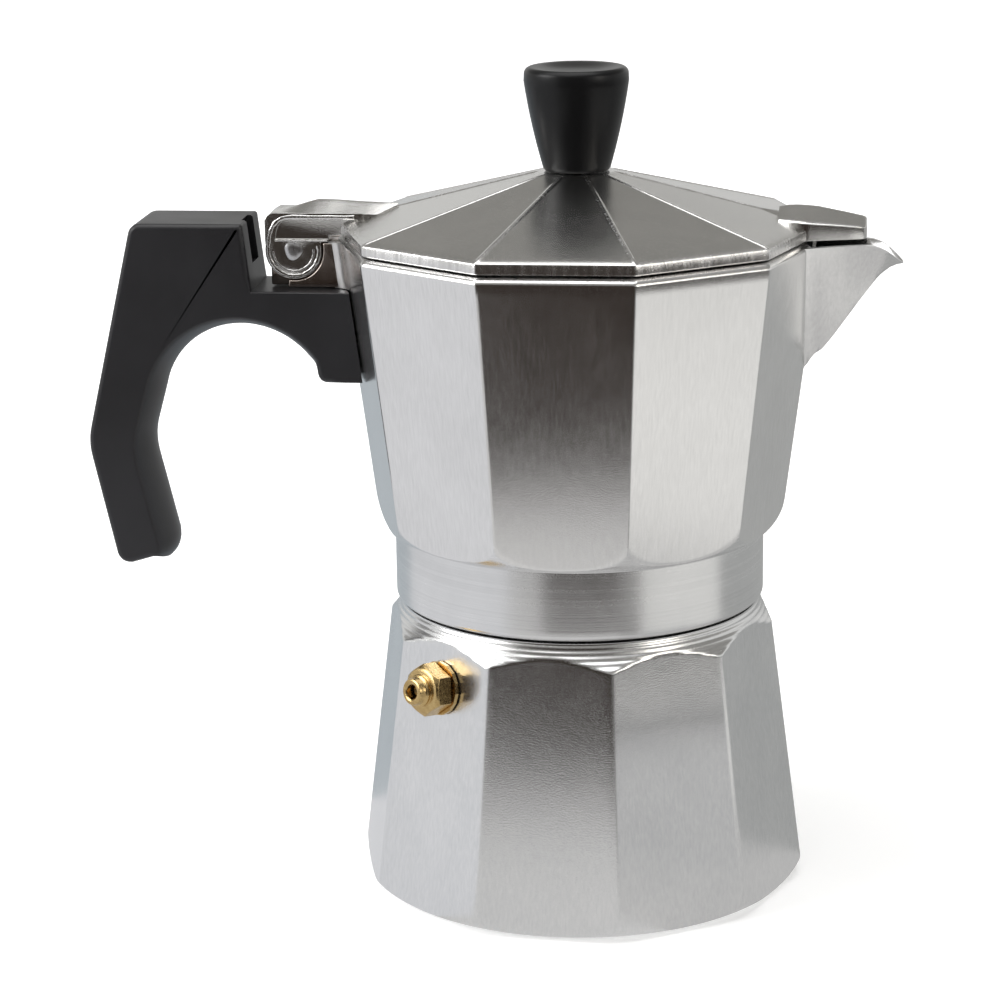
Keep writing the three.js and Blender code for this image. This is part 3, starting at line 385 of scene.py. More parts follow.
def new_material(name, metallic, ior=1.5):
    material = bpy.data.materials.new(name)
    material.use_nodes = True
    nodes = Nodes(material.node_tree)
    shader = material.node_tree.nodes["Principled BSDF"]
    shader.inputs["Metallic"].default_value = metallic
    shader.inputs["IOR"].default_value = ior
    place_of = nodes.add("ShaderNodeTexCoord").outputs["Object"]
    return material, nodes, shader, place_of


def round_place(nodes, place_of):
    """(distance from the axis, 0, height), so that a noise on it runs round the axis."""
    parts = nodes.add("ShaderNodeSeparateXYZ")
    nodes.link(place_of, parts.inputs[0])
    squares = nodes.math("ADD", nodes.math("MULTIPLY", parts.outputs[0], parts.outputs[0]),
                         nodes.math("MULTIPLY", parts.outputs[1], parts.outputs[1]))
    joined = nodes.add("ShaderNodeCombineXYZ")
    nodes.link(nodes.math("SQRT", squares, 0.0), joined.inputs[0])
    nodes.link(parts.outputs[2], joined.inputs[2])
    return joined.outputs[0]


# Noise scales, per metre: how large the dull patches are. Height of the grain, in metres.
METAL_PATCHES, PLASTIC_PATCHES = 60, 45
GRAIN_HEIGHT = 0.0001


def metal(name, light, dark, roughness, spread, lines, line_depth, grain, grain_depth, turned_marks=False):
    """A metal with fine lines along the axis whose scale in lines is small, cast grain and dull patches."""
    material, nodes, shader, place_of = new_material(name, 1.0)
    line_place = round_place(nodes, place_of) if turned_marks else place_of
    line = nodes.noise(line_place, lines, 3.0, 0.6)
    speck = nodes.noise(place_of, (grain, grain, grain), 2.0, 0.6)
    patch = nodes.noise(place_of, (METAL_PATCHES, METAL_PATCHES, METAL_PATCHES), 3.0, 0.6)
    mix = nodes.math("ADD", nodes.math("MULTIPLY", line, 0.55), nodes.math("MULTIPLY", patch, 0.45))
    nodes.link(nodes.mixed(nodes.scaled(mix, (0.35, 0.65), (0, 1)), dark, light), shader.inputs["Base Color"])
    wear = nodes.math("ADD", nodes.math("MULTIPLY", mix, 0.7), nodes.math("MULTIPLY", speck, 0.3))
    nodes.link(nodes.scaled(wear, (0.35, 0.65), (roughness - spread, roughness + spread)),
               shader.inputs["Roughness"])
    fine = nodes.bump(speck, grain_depth, GRAIN_HEIGHT)
    nodes.link(nodes.bump(line, line_depth, GRAIN_HEIGHT, fine), shader.inputs["Normal"])
    return material


def plastic(name, light, dark, roughness, grain, grain_depth, specular=0.5):
    """Moulded plastic with a fine grain, faint flow patches and a slightly worn gloss."""
    material, nodes, shader, place_of = new_material(name, 0.0)
    speck = nodes.noise(place_of, (grain, grain, grain), 2.0, 0.6)
    patch = nodes.noise(place_of, (PLASTIC_PATCHES, PLASTIC_PATCHES, PLASTIC_PATCHES * 0.6), 3.0, 0.6)
    nodes.link(nodes.mixed(nodes.scaled(patch, (0.3, 0.7), (0, 1)), dark, light), shader.inputs["Base Color"])
    nodes.link(nodes.scaled(patch, (0.3, 0.7), (roughness - 0.04, roughness + 0.05)),
               shader.inputs["Roughness"])
    nodes.link(nodes.bump(speck, grain_depth, GRAIN_HEIGHT), shader.inputs["Normal"])
    shader.inputs["Specular IOR Level"].default_value = specular
    return material


# Name, light and dark colour, roughness and its spread, then the lines, the grain and their depths.
BRUSHED = metal("aluminium_brushed", (0.87, 0.865, 0.86), (0.78, 0.775, 0.77), 0.2, 0.03,
                (2600, 2600, 45), 0.07, 4200, 0.10)
BOILER_CAST = metal("aluminium_satin", (0.84, 0.84, 0.84), (0.75, 0.755, 0.76), 0.21, 0.03,
                    (2200, 2200, 500), 0.05, 3600, 0.20)
TURNED = metal("aluminium_turned", (0.84, 0.84, 0.84), (0.72, 0.72, 0.72), 0.25, 0.04,
               (2600, 1, 2600), 0.09, 3600, 0.08, turned_marks=True)
LID_CAST = metal("aluminium_lid", (0.76, 0.75, 0.73), (0.68, 0.675, 0.66), 0.2, 0.03,
                 (1900, 1900, 1900), 0.05, 3600, 0.22)
# Lighter metal: the machined band of the lid's rim, and painted highlight on the lid's ridges and the arm's
# beads.
BAND_AND_HIGHLIGHT = metal("aluminium_band_and_highlight", (0.88, 0.87, 0.86), (0.66, 0.65, 0.64), 0.24, 0.08,
             (900, 900, 40), 0.5, 3000, 0.1)
SHEET = metal("aluminium_sheet", (0.8, 0.81, 0.82), (0.7, 0.71, 0.72), 0.36, 0.05,
              (900, 900, 900), 0.06, 3000, 0.12)
CASTING = metal("aluminium_rough_cast", (0.8, 0.79, 0.78), (0.6, 0.59, 0.58), 0.3, 0.08,
                (260, 260, 260), 0.25, 1400, 0.35)
# Aluminium for the lug, darker and browner than the rest.
LUG_METAL = metal("aluminium_lug_darker", (0.56, 0.5, 0.46), (0.42, 0.35, 0.31), 0.22, 0.06,
                  (1500, 1500, 60), 0.3, 2600, 0.12)
BRASS = metal("brass_machined", (0.66, 0.48, 0.22), (0.48, 0.33, 0.14), 0.24, 0.06,
              (1200, 1200, 1200), 0.1, 2400, 0.1)
STEEL = metal("steel_plain", (0.66, 0.66, 0.67), (0.52, 0.52, 0.53), 0.3, 0.06,
              (1500, 1500, 200), 0.12, 2600, 0.1)
HANDLE_PLASTIC = plastic("handle_plastic", (0.015, 0.0145, 0.017), (0.011, 0.0105, 0.012), 0.36,
                         3200, 0.12, 0.45)
KNOB_PLASTIC = plastic("knob_plastic", (0.005, 0.005, 0.0055), (0.004, 0.004, 0.0045), 0.3, 3200, 0.04, 0.25)
RUBBER = plastic("gasket_rubber", (0.78, 0.76, 0.71), (0.7, 0.68, 0.63), 0.6, 1800, 0.15)


# ------------------------------------------------------------------ boiler
# How far the lathe's axis lies off the casting's at the boiler's shoulder.
OFF_CENTRE = 0.3


def make_boiler():
    size = BOILER
    theta = ring_angles(turn=size["turn"])
    foot = bezier((42.2, 0.35), (46.0, 0.9), (47.0, 6.2), 14)
    shoulder = bezier((size["corner"] + 2.3, size["corner_z"] - 0.6), (size["top"] + 1.1, SHOULDER_Z - 3.8),
                      (size["top"], SHOULDER_Z), 40)
    foot_top, shoulder_start = foot[-1][1], shoulder[0][1]
    # The rings lie close together where the lathe has cut the shoulder.
    heights = np.concatenate([np.linspace(0.35, foot_top, 20), np.linspace(foot_top, 42, 16)[1:],
                              np.arange(42.6, SHOULDER_Z + 0.01, 0.26)])

    def envelope(z):
        """Radius that the lathe leaves: the foot, nothing cut along the facets, then the shoulder."""
        if z < foot_top:
            return np.interp(z, foot[:, 1], foot[:, 0])
        if z < shoulder_start:
            return BEYOND
        marks = 0.07 * math.sin(2 * math.pi * z / 0.95) * min(1, (z - shoulder_start) / 3)
        return np.interp(z, shoulder[:, 1], shoulder[:, 0]) + marks

    def past_envelope(x, y, z):
        if z < max(foot_top, shoulder_start):
            return False
        angle = np.array([math.atan2(y, x)])
        flat = facet_radius(angle, boiler_corner(z), turn=size["turn"], rounding=0.01)[0]
        return np.interp(z, shoulder[:, 1], shoulder[:, 0]) + OFF_CENTRE * y / math.hypot(x, y) < flat

    rings = [(ON_AXIS, 0.6), (30, 0.6), (37.4, 0.6), (38, 0.0), (41.6, 0.0)]
    bands = [1] * len(rings)
    for z in heights:
        flat = facet_radius(theta, boiler_corner(z), turn=size["turn"], rounding=0.75)
        off_centre = OFF_CENTRE * np.sin(theta) if z > 45 else 0.0
        rings.append((smooth_min(flat, np.full_like(flat, envelope(z)) + off_centre, 0.3), z))
        bands.append(0)
    rings += [(size["top"] - 0.5, SHOULDER_Z + 0.05), (size["neck"] + 0.5, SHOULDER_Z + 0.05)]
    rings += [(size["neck"], SHOULDER_Z + 0.5), (size["neck"], MOUTH_Z - 0.6), (size["neck"] - 0.5, MOUTH_Z)]
    rings += [(size["bore"] + 0.4, MOUTH_Z), (size["bore"], MOUTH_Z - 0.4), (size["bore"], SHOULDER_Z - 2)]
    bands += [1] * 8
    for z, inset in ((size["corner_z"] - 4, 0), (30, 0), (7, 0), (4.4, 1.2), (3.3, 2.8), (3.0, 4.2)):
        inner = (boiler_corner(z) * COS_HALF - size["wall"] - inset) / COS_HALF
        rings.append((facet_radius(theta, inner, turn=size["turn"], rounding=3), z))
        bands.append(2)
    rings += [(20, size["floor"]), (ON_AXIS, size["floor"])]
    bands += [1, 1]
    shell = ring_surface("boiler_shell", theta, rings, [BOILER_CAST, TURNED, SHEET], bands=bands)
    mark_second_material(shell, past_envelope)
    place(shell, "boiler", "boiler_aluminium", "boiler")
    thread = helix_ridge("boiler_thread", size["neck"], SHOULDER_Z + 2, [TURNED])
    place(thread, "boiler", "boiler_aluminium")


def mark_second_material(obj, test):
    """Gives the second material to the faces of the first whose centre passes the test."""
    for polygon in obj.data.polygons:
        if polygon.material_index == 0:
            x, y, z = (c / MM for c in polygon.center)
            if test(x, y, z):
                polygon.material_index = 1


def make_valve():
    """Hexagon, ring and nozzle, in a frame with Z along the valve's axis and zero on the boiler's facet."""
    angle = BOILER["turn"] + 6.5 * FACET_STEP
    lean = (BOILER["widest"] - BOILER["corner"]) / (BOILER["corner_z"] - BOILER["widest_z"])
    tilt = math.atan(lean * COS_HALF)
    height = 47.2
    radius = boiler_corner(height) * COS_HALF
    across_corners = 9.2 / 2 / math.cos(math.pi / 6)
    start, end = 1.4, 5.4
    hexagon_turn = math.radians(8)
    theta = ring_angles(6, hexagon_turn, 3)

    def hexagon(corner):
        return facet_radius(theta, corner, 6, hexagon_turn, 0.12)

    rings = [(1.5, start - 7.5), (3.45, start - 7.5), (3.6, start - 7.3), (3.6, start)]
    rings += [(hexagon(across_corners * 0.93), start), (hexagon(across_corners), start + 0.25)]
    for z in np.linspace(end - 1.3, end, 10):
        cone = across_corners + 0.15 - 1.35 * (z - end + 1.3)
        rings.append((smooth_min(hexagon(across_corners), np.full_like(theta, cone + 0.55), 0.12), z))
    # Ring, nozzle and bore, from the hexagon's end outward and back inside.
    outside = [(3.5, 0), (3.3, 0.05), (3.3, 0.2), (3.15, 0.3), (3.2, 0.5), (3.2, 0.8), (2.9, 1.0),
               (2.75, 1.05), (2.65, 1.2), (2.7, 2.1), (2.55, 2.5), (2.2, 2.68), (1.75, 2.62), (1.5, 2.4),
               (1.45, 1.8), (1.45, -0.8)]
    rings += [(r, end + z) for r, z in outside]
    rings += [(1.5, start - 7.4)]
    piece = ring_surface("valve_brass", theta, rings, [BRASS], loop=True, sharp=40)
    turn = Matrix.Rotation(angle, 4, "Z") @ Matrix.Rotation(math.pi / 2 - tilt, 4, "Y")
    origin = Matrix.Translation(Vector((radius * math.cos(angle), radius * math.sin(angle), height)) * MM)
    piece.data.transform(origin @ turn)
    place(piece, "boiler", "brass", "valve_body")


# ------------------------------------------------------------------ funnel, gasket and plates
def make_funnel():
    rim_z = high("funnel")[2]
    rim = high("funnel")[0]
    end_z = low("funnel")[2]
    floor_z = rim_z - 0.8 - 23
    outer = [(5.2, end_z), (5.2, floor_z - 8.2), (5.6, floor_z - 7.2), (27.4, floor_z - 1.1),
             (28.3, floor_z - 0.5), (28.6, floor_z + 0.6), (28.6, rim_z - 1.2), (28.9, rim_z - 0.8),
             (rim - 0.2, rim_z - 0.8), (rim, rim_z - 0.4)]
    inner = [(rim - 0.2, rim_z), (28.4, rim_z), (27.9, rim_z - 0.5), (27.8, rim_z - 1), (27.8, floor_z + 0.9),
             (27.3, floor_z + 0.2), (26.6, floor_z - 0.1), (5.1, floor_z - 6.9), (4.4, floor_z - 8),
             (4.4, end_z)]
    piece = turned("funnel_shell", outer + inner, [SHEET], loop=True)
    place(piece, "funnel", "sheet_aluminium", "funnel")


def perforated(radius, bottom, top, rings, hole):
    """A round plate with many small holes, one in each cell of a polar grid."""
    sides = 12
    edges = np.linspace(1.6, radius - 3.2, rings + 1)
    vertices, faces = [], []

    def vertex(x, y, z):
        vertices.append((x, y, z))
        return len(vertices) - 1

    for inner, outer in zip(edges[:-1], edges[1:]):
        middle_radius = (inner + outer) / 2
        cells = max(6, round(2 * math.pi * (inner + outer) / 2 / (outer - inner)))
        for j in range(cells):
            start, end = 2 * math.pi * j / cells, 2 * math.pi * (j + 1) / cells
            middle = (start + end) / 2
            centre_x, centre_y = middle_radius * math.cos(middle), middle_radius * math.sin(middle)
            corners, holes = [], []
            for t in np.linspace(0, 2 * math.pi, sides, endpoint=False):
                across, along = math.cos(t), math.sin(t)
                reach = 1 / max(abs(across), abs(along))
                r = middle_radius + across * reach * (outer - inner) / 2
                a = middle + along * reach * (end - start) / 2
                corners.append((r * math.cos(a), r * math.sin(a)))
                holes.append((centre_x + hole * math.cos(t + middle), centre_y + hole * math.sin(t + middle)))
            levels = [[[vertex(*p, z) for p in points] for z in (bottom, top)] for points in (corners, holes)]
            for k in range(sides):
                n = (k + 1) % sides
                for edge, rim in zip(*levels):
                    faces.append((edge[k], edge[n], rim[n], rim[k]))
                lower, upper = levels[1]
                faces.append((lower[k], lower[n], upper[n], upper[k]))
    return vertices, faces, edges


def make_plate(name, node, body):
    """The holed middle of a plate, with a plain rim and a small plain centre."""
    bottom, top = low(node)[2], high(node)[2]
    radius = high(node)[0]
    vertices, faces, edges = perforated(radius, bottom, top, 13, 0.55)
    middle = new_object(name + "_holes", vertices, faces, [SHEET], None, 40)
    rim = turned(name, [(edges[-1], bottom), (radius - 0.1, bottom), (radius, bottom + 0.15),
                        (radius, top - 0.15), (radius - 0.1, top), (edges[-1], top)], [SHEET], 96, loop=True)
    hub = turned(name + "_hub", [(ON_AXIS, bottom), (edges[0] + 0.15, bottom), (edges[0] + 0.15, top),
                                 (ON_AXIS, top)], [SHEET], 32)
    place(rim, body, "sheet_aluminium", node)
    place(middle, body, "sheet_aluminium")
    place(hub, body, "sheet_aluminium")


def make_gasket():
    bottom, top = low("gasket")[2], high("gasket")[2]
    outer = high("gasket")[0]
    profile = [(26.95, bottom), (outer - 0.2, bottom), (outer, bottom + 0.25), (outer, top - 0.25),
               (outer - 0.2, top), (29.1, top), (28.9, top - 0.2), (28.9, top - 1.35), (26.95, top - 1.4),
               (26.8, top - 1.6), (26.8, bottom + 0.2)]
    place(turned("gasket_ring", profile, [RUBBER], loop=True), "gasket", "gasket_rubber", "gasket")


def make_column():
    base, top = low("coffee_column")[2], high("coffee_column")[2]
    flange = FLOOR_TOP_Z + 0.3
    profile = [(0, base), (7.0, base), (7.2, base + 0.2), (7.2, flange), (8.8, flange), (9.0, flange + 0.2),
               (9.0, flange + 1.0), (8.8, flange + 1.2), (7.5, flange + 1.35), (7.1, flange + 2.0),
               (5.45, top - 1.2)]
    profile += arc((4.45, top - 1.0), 1.0, 0, 90, 7) + [(0, top)]
    tube = turned("column_tube", profile, [CASTING], 96)
    port = turned("port", [(0, -12), (1.9, -12), (1.9, 12), (0, 12)], [CASTING], 32)
    port.data.transform(Matrix.Translation((0, 0, (top - 4.2) * MM)) @ Matrix.Rotation(math.pi / 2, 4, "X"))
    bore = turned("bore", [(0, base - 1), (3.6, base - 1), (3.6, top - 2.1), (3.3, top - 1.8),
                           (0, top - 1.8)], [CASTING], 64)
    carve(tube, port, bore)
    place(tube, "collector", "collector_aluminium", "coffee_column")


# ------------------------------------------------------------------ collector
def make_collector():
    theta = ring_angles()
    size = BODY
    collar = size["collar"]
    underside = bezier((collar, size["collar_top"]), (size["bottom"] - 0.9, size["collar_top"] + 1.2),
                       (size["bottom"] + 0.1, size["bottom_z"] + 0.4), 30)
    underside_end = underside[-1][1]

    def inside(z, inset=0.0):
        return facet_radius(theta, body_corner(z) - (size["wall"] + inset) / COS_HALF, rounding=1.2)

    def cut_by_lathe(x, y, z):
        distance = math.hypot(x, y)
        flat = facet_radius(np.array([math.atan2(y, x)]), body_corner(z), rounding=0.01)[0]
        return z < underside_end + 0.4 and size["skirt"] + 0.2 < distance < flat - 0.12

    rings = [(size["skirt"] + 0.4, COLLAR_Z), (collar - 1.2, COLLAR_Z)]
    rings += arc((collar - 1.2, COLLAR_Z + 1.2), 1.2, -75, 0, 7)
    rings += [(collar, z) for z in np.linspace(COLLAR_Z + 2.2, size["collar_top"] - 0.3, 8)]
    bands = [1] * len(rings)
    for z in np.arange(size["collar_top"], underside_end + 1.6, 0.2):
        outline = np.interp(z, underside[:, 1], underside[:, 0]) if z < underside_end else BEYOND
        flat = facet_radius(theta, body_corner(z), rounding=0.4)
        rings.append((smooth_min(flat, np.full_like(flat, outline), 0.3), z))
        bands.append(0)
    for z in np.linspace(rings[-1][1], RIM_Z - 1.5, 24)[1:]:
        rings.append((facet_radius(theta, body_corner(z), rounding=0.4), z))
        bands.append(0)
    for drop, inset in ((1.1, 0.1), (0.7, 0.4), (0.35, 0.8), (0.1, 1.15), (0.0, 1.5)):
        z = RIM_Z - drop
        rings.append((facet_radius(theta, body_corner(z) - inset / COS_HALF, rounding=0.4), z))
        bands.append(0)
    rings += [(inside(RIM_Z), RIM_Z), (inside(RIM_Z - 0.3, -0.1), RIM_Z - 0.3)]
    bands += [0, 2]
    for z in np.linspace(RIM_Z - 1.5, FLOOR_TOP_Z + 4.5, 12):
        rings.append((inside(z), z))
        bands.append(2)
    for rise, inset in ((3.0, 0.3), (1.8, 1.0), (0.8, 2.2), (0.2, 3.8), (0.0, 5.6)):
        rings.append((inside(FLOOR_TOP_Z + rise, inset), FLOOR_TOP_Z + rise))
        bands.append(2)
    rings += [(20, FLOOR_TOP_Z), (size["hole"], FLOOR_TOP_Z), (size["hole"], FLOOR_UNDER_Z)]
    rings += [(size["seat"], FLOOR_UNDER_Z), (size["seat"], FLOOR_UNDER_Z - 3.6)]
    rings += [(size["skirt"], FLOOR_UNDER_Z - 3.6), (size["skirt"], COLLAR_Z + 0.4)]
    bands += [2, 2, 1, 1, 1, 1, 1]
    body = ring_surface("collector_body", theta, rings, [BRUSHED, TURNED, CASTING], loop=True, bands=bands)
    mark_second_material(body, cut_by_lathe)
    carve(body, spout_channel())
    place(body, "collector", "collector_aluminium", "collector")
    thread = helix_ridge("collector_thread", size["skirt"], COLLAR_Z + 3.15, [TURNED])
    place(thread, "collector", "collector_aluminium")


# The tables of the spout and the lid's tab are drawn for a spout and a rim at these places.
DRAWN_TIP_X, DRAWN_RIM_Z = 64.6, 132.9
SHIFT_X, LIFT_Z = TIP_X - DRAWN_TIP_X, RIM_Z - DRAWN_RIM_Z
# Half width of the spout at its rim, height of its keel and height of its lip, by distance from the axis.
SPOUT_HALF = np.array([(44.0, 10.0), (45.9, 9.0), (49, 7.65), (52.5, 6.3), (55.0, 5.5), (57.5, 4.95),
                       (59.3, 4.7), (61.0, 4.3), (62.3, 3.7), (63.3, 2.9), (64.0, 2.0), (64.6, 0.9)])
SPOUT_KEEL = np.array([(44.0, 105.6), (45.4, 106.3), (46.1, 107.7), (47.3, 109.3), (48.8, 110.3),
                       (50.8, 112.8), (56.4, 120.7), (59.3, 124.6), (60.3, 125.7), (62.0, 127.0),
                       (63.3, 127.55), (64.6, 127.8)])
SPOUT_LIP = np.array([(44.0, 132.1), (57.0, 132.1), (58.6, 131.95), (60.0, 131.5), (61.3, 130.8),
                      (62.3, 130.0), (63.3, 129.2), (64.1, 128.5), (64.6, 128.1)])
# Wall and floor of the gutter inside the spout.
SPOUT_WALL = np.array([(40, 1.5), (57, 1.3), (62, 0.95), (65.2, 0.5)])
SPOUT_FLOOR = np.array([(40, 110), (57, 124.4), (60, 127.1), (62, 128.1), (63.6, 128.3), (65.2, 128.2)])


def spout_table(table, x):
    return float(np.interp(x - SHIFT_X, table[:, 0], table[:, 1]))


def spout_section(x, wall=0.0, top=None):
    """One V-shaped section across the spout: rim, straight side and keel."""
    rim = spout_table(SPOUT_LIP, x) + LIFT_Z if top is None else top
    keel = spout_table(SPOUT_KEEL, x) + LIFT_Z + wall * 1.9
    half = max(spout_table(SPOUT_HALF, x) - wall, 0.12)
    return mirrored(x, straight((half, rim), (0, keel), np.linspace(0, 1, 9)))


def spout_channel():
    """The notch in the body's wall through which the coffee reaches the spout."""
    xs = list(np.linspace(TIP_X - 25, TIP_X - 17.5, 3)) + list(np.linspace(TIP_X - 16, TIP_X - 9, 5))
    return lofted("channel", [spout_section(x, 1.8, RIM_Z + 2) for x in xs], [CASTING], 30)


def make_spout():
    outer_xs = (44.0, 45.0, 45.9, 46.6, 47.3, 48.0, 48.8, 49.8, 50.8, 52.5, 54.5, 56.4, 57.5, 58.6, 59.3,
                60.0, 60.6, 61.3, 62.0, 62.6, 63.3, 63.8, 64.2, 64.55)
    outer = lofted("spout_gutter", [spout_section(SHIFT_X + x) for x in outer_xs], [BRUSHED], 30)
    inner_xs = (40, 44, 46, 48, 50, 52, 54, 56, 57.5, 58.6, 59.6, 60.6, 61.6, 62.6, 63.6, 64.4, 65.2)
    sections = []
    for x in (SHIFT_X + drawn_x for drawn_x in inner_xs):
        half = max(spout_table(SPOUT_HALF, min(x, TIP_X)) - spout_table(SPOUT_WALL, x), 0.35)
        lip = spout_table(SPOUT_LIP, min(x, TIP_X)) + LIFT_Z
        floor_z = spout_table(SPOUT_FLOOR, x) + LIFT_Z
        side = [(half, RIM_Z + 2)] + straight((half, lip), (0, floor_z), np.linspace(0, 1, 9))
        sections.append(mirrored(x, side))
    inner = lofted("spout_inside", sections, [BRUSHED], 30)
    # The body's own wall stays whole inside the root of the gutter.
    theta = ring_angles()
    rings = [(facet_radius(theta, body_corner(z) - 0.9, rounding=0.4), z) for z in (90, 140)]
    core = ring_surface("core", theta, rings, [BRUSHED])
    carve(outer, inner, core, sharp=30)
    bevelled(outer, 0.28, 3, 28, 45)
    place(outer, "collector", "collector_aluminium")


def make_lug():
    px, pz = PIN[0], PIN[2]
    bottom, top = LEDGE_Z + 0.3, RIM_Z - 1.1
    inside = -BODY["rim"] + 3.4
    cheek_radius, tongue_radius = 6.0, 5.1
    cheek_start = 259.6
    cut_x = px + (bottom - pz) / math.tan(math.radians(cheek_start))
    cheek = [(inside, bottom), (cut_x, bottom)] + arc((px, pz), cheek_radius, cheek_start, 360, 24)
    cheek += [(px + cheek_radius, top), (inside, top)]
    tongue = [(inside, bottom), (px - tongue_radius, bottom), (px - tongue_radius, pz)]
    tongue += arc((px, pz), tongue_radius, 180, 18, 20)[1:] + [(px + 5.6, top), (inside, top)]
    for name, outline, half, y in (("lug_near", cheek, 1.25, -3.75), ("lug_far", cheek, 1.25, 3.75),
                                   ("lug_tongue", tongue, 2.5, 0.0)):
        piece = plate(name, outline, half, [LUG_METAL], y)
        bevelled(piece, 0.3, 3, 35, 50)
        place(piece, "collector", "collector_aluminium")
    # Rounded fillets where the lug runs into the corner of the body.
    for name, side in (("lug_fillet_near", -1), ("lug_fillet_far", 1)):
        sections = []
        for z in np.linspace(bottom - 0.1, top + 0.1, 8):
            root_x = -(body_corner(z) - 5 * math.tan(FACET_STEP / 2))
            side_x = -(body_corner(z) - 7.2 * math.tan(FACET_STEP / 2))
            curve = bezier((root_x - 2.6, 4.9), (root_x - 0.25, 5.0), (side_x - 0.02, 7.2), 9)
            section = [(x, side * y, z) for x, y in curve]
            section += [(side_x + 1.2, side * 7.2, z), (root_x + 1.2, side * 4.7, z)]
            section += [(root_x - 2.4, side * 4.7, z)]
            sections.append(section)
        place(lofted(name, sections, [CASTING], 60), "collector", "collector_aluminium")


def make_rib():
    bottom, top = LEG_BOTTOM_Z + 6, LEDGE_Z + 4
    reach = -BODY["rim"] - 1.7
    outline = [(-body_corner(bottom) + 1.5, bottom), (reach + 2.5, bottom), (reach, bottom + 5), (reach, top),
               (-body_corner(top) + 1.5, top)]
    screw_x = (low("handle_screw")[0] + high("handle_screw")[0]) / 2
    rib = bevelled(plate("handle_rib", outline, 2.2, [CASTING]), 0.3, 3, 35, 50)
    hole = turned("hole", [(0, bottom - 1), (1.3, bottom - 1), (1.3, bottom + 9.6), (0, bottom + 9.6)],
                  [CASTING], 32, centre=(screw_x, 0))
    carve(rib, hole)
    place(rib, "collector", "collector_aluminium")


def make_pin():
    end = 5.35
    profile = [(0, -end + 0.1), (0.8, -end), (1.5, -end + 0.2), (1.8, -end + 0.33), (1.3, -end + 0.36),
               (1.3, end - 0.36), (1.8, end - 0.33), (1.5, end - 0.2), (0.8, end), (0, end - 0.1)]
    pin = turned("hinge_pin_peened", profile, [STEEL], 48)
    for vertex in pin.data.vertices:
        z = vertex.co.z / MM
        if abs(z) > end - 0.35:
            wave = 1 + 0.09 * math.sin(3 * math.atan2(vertex.co.y, vertex.co.x) + 0.7)
            vertex.co.x *= wave
            vertex.co.y *= wave
    pin.data.transform(Matrix.Translation(Vector(PIN) * MM) @ Matrix.Rotation(math.pi / 2, 4, "X"))
    place(pin, "collector", "steel", "hinge_pin")


# ------------------------------------------------------------------ lid
LID_BAND_Z = LID["bottom"] + LID["band"]
LID_SLOPE = (APEX_Z - LID_BAND_Z) / (LID["corner"] - LID["apex"])


def lid_ridge(x):
    return APEX_Z - LID_SLOPE * (abs(x) - LID["apex"])


def make_lid():
    theta = ring_angles(fine=True)
    bottom, corner, apex = LID["bottom"], LID["corner"], LID["apex"]
    under_z = APEX_Z - LID["wall"]

    def facet(radius, rounding=0.35):
        return facet_radius(theta, radius, rounding=rounding)

    def off_ridge(angle):
        """Angle to the nearest corner."""
        return np.abs(np.mod(angle + FACET_STEP / 2, FACET_STEP) - FACET_STEP / 2)

    rings = [(facet(corner - 0.25), bottom), (facet(corner), bottom + 0.25)]
    rings += [(facet(corner), LID_BAND_Z - 0.45), (facet(corner - 0.1), LID_BAND_Z - 0.15),
              (facet(corner - 0.4), LID_BAND_Z + 0.05)]
    bands = [1] * 4 + [0]
    for r in np.linspace(corner - 1.6, apex + 1.2, 26):
        ridge = 0.55 * np.exp(-(off_ridge(theta) * r / 0.42) ** 4)
        rings.append((facet(r, 0.3) + ridge, lid_ridge(r)))
        bands.append(0)
    rings += [(facet(apex + 0.6, 1.2), APEX_Z - 0.08), (facet(apex, 1.4), APEX_Z), (2.3, APEX_Z)]
    rings += [(2.2, APEX_Z - 0.1), (2.2, under_z)]
    bands += [0] * 5
    inner_rim = corner - LID["wall"] - 1.4
    rings += [(facet(apex, 1.4), under_z), (facet(20), under_z - 3.25), (facet(inner_rim), bottom + 0.6),
              (facet(inner_rim), bottom)]
    bands += [2] * 4
    roof = ring_surface("lid_roof", theta, rings, [LID_CAST, BAND_AND_HIGHLIGHT, CASTING], loop=True, sharp=30, bands=bands)

    # Faces along each ridge take the lighter band metal: a painted highlight strip on every ridge, over the
    # raised ridge itself.
    def on_ridge(x, y, z):
        return z > LID_BAND_Z + 0.1 and off_ridge(math.atan2(y, x)) * math.hypot(x, y) < 0.45

    mark_second_material(roof, on_ridge)
    place(roof, "lid", "lid_aluminium", "lid")


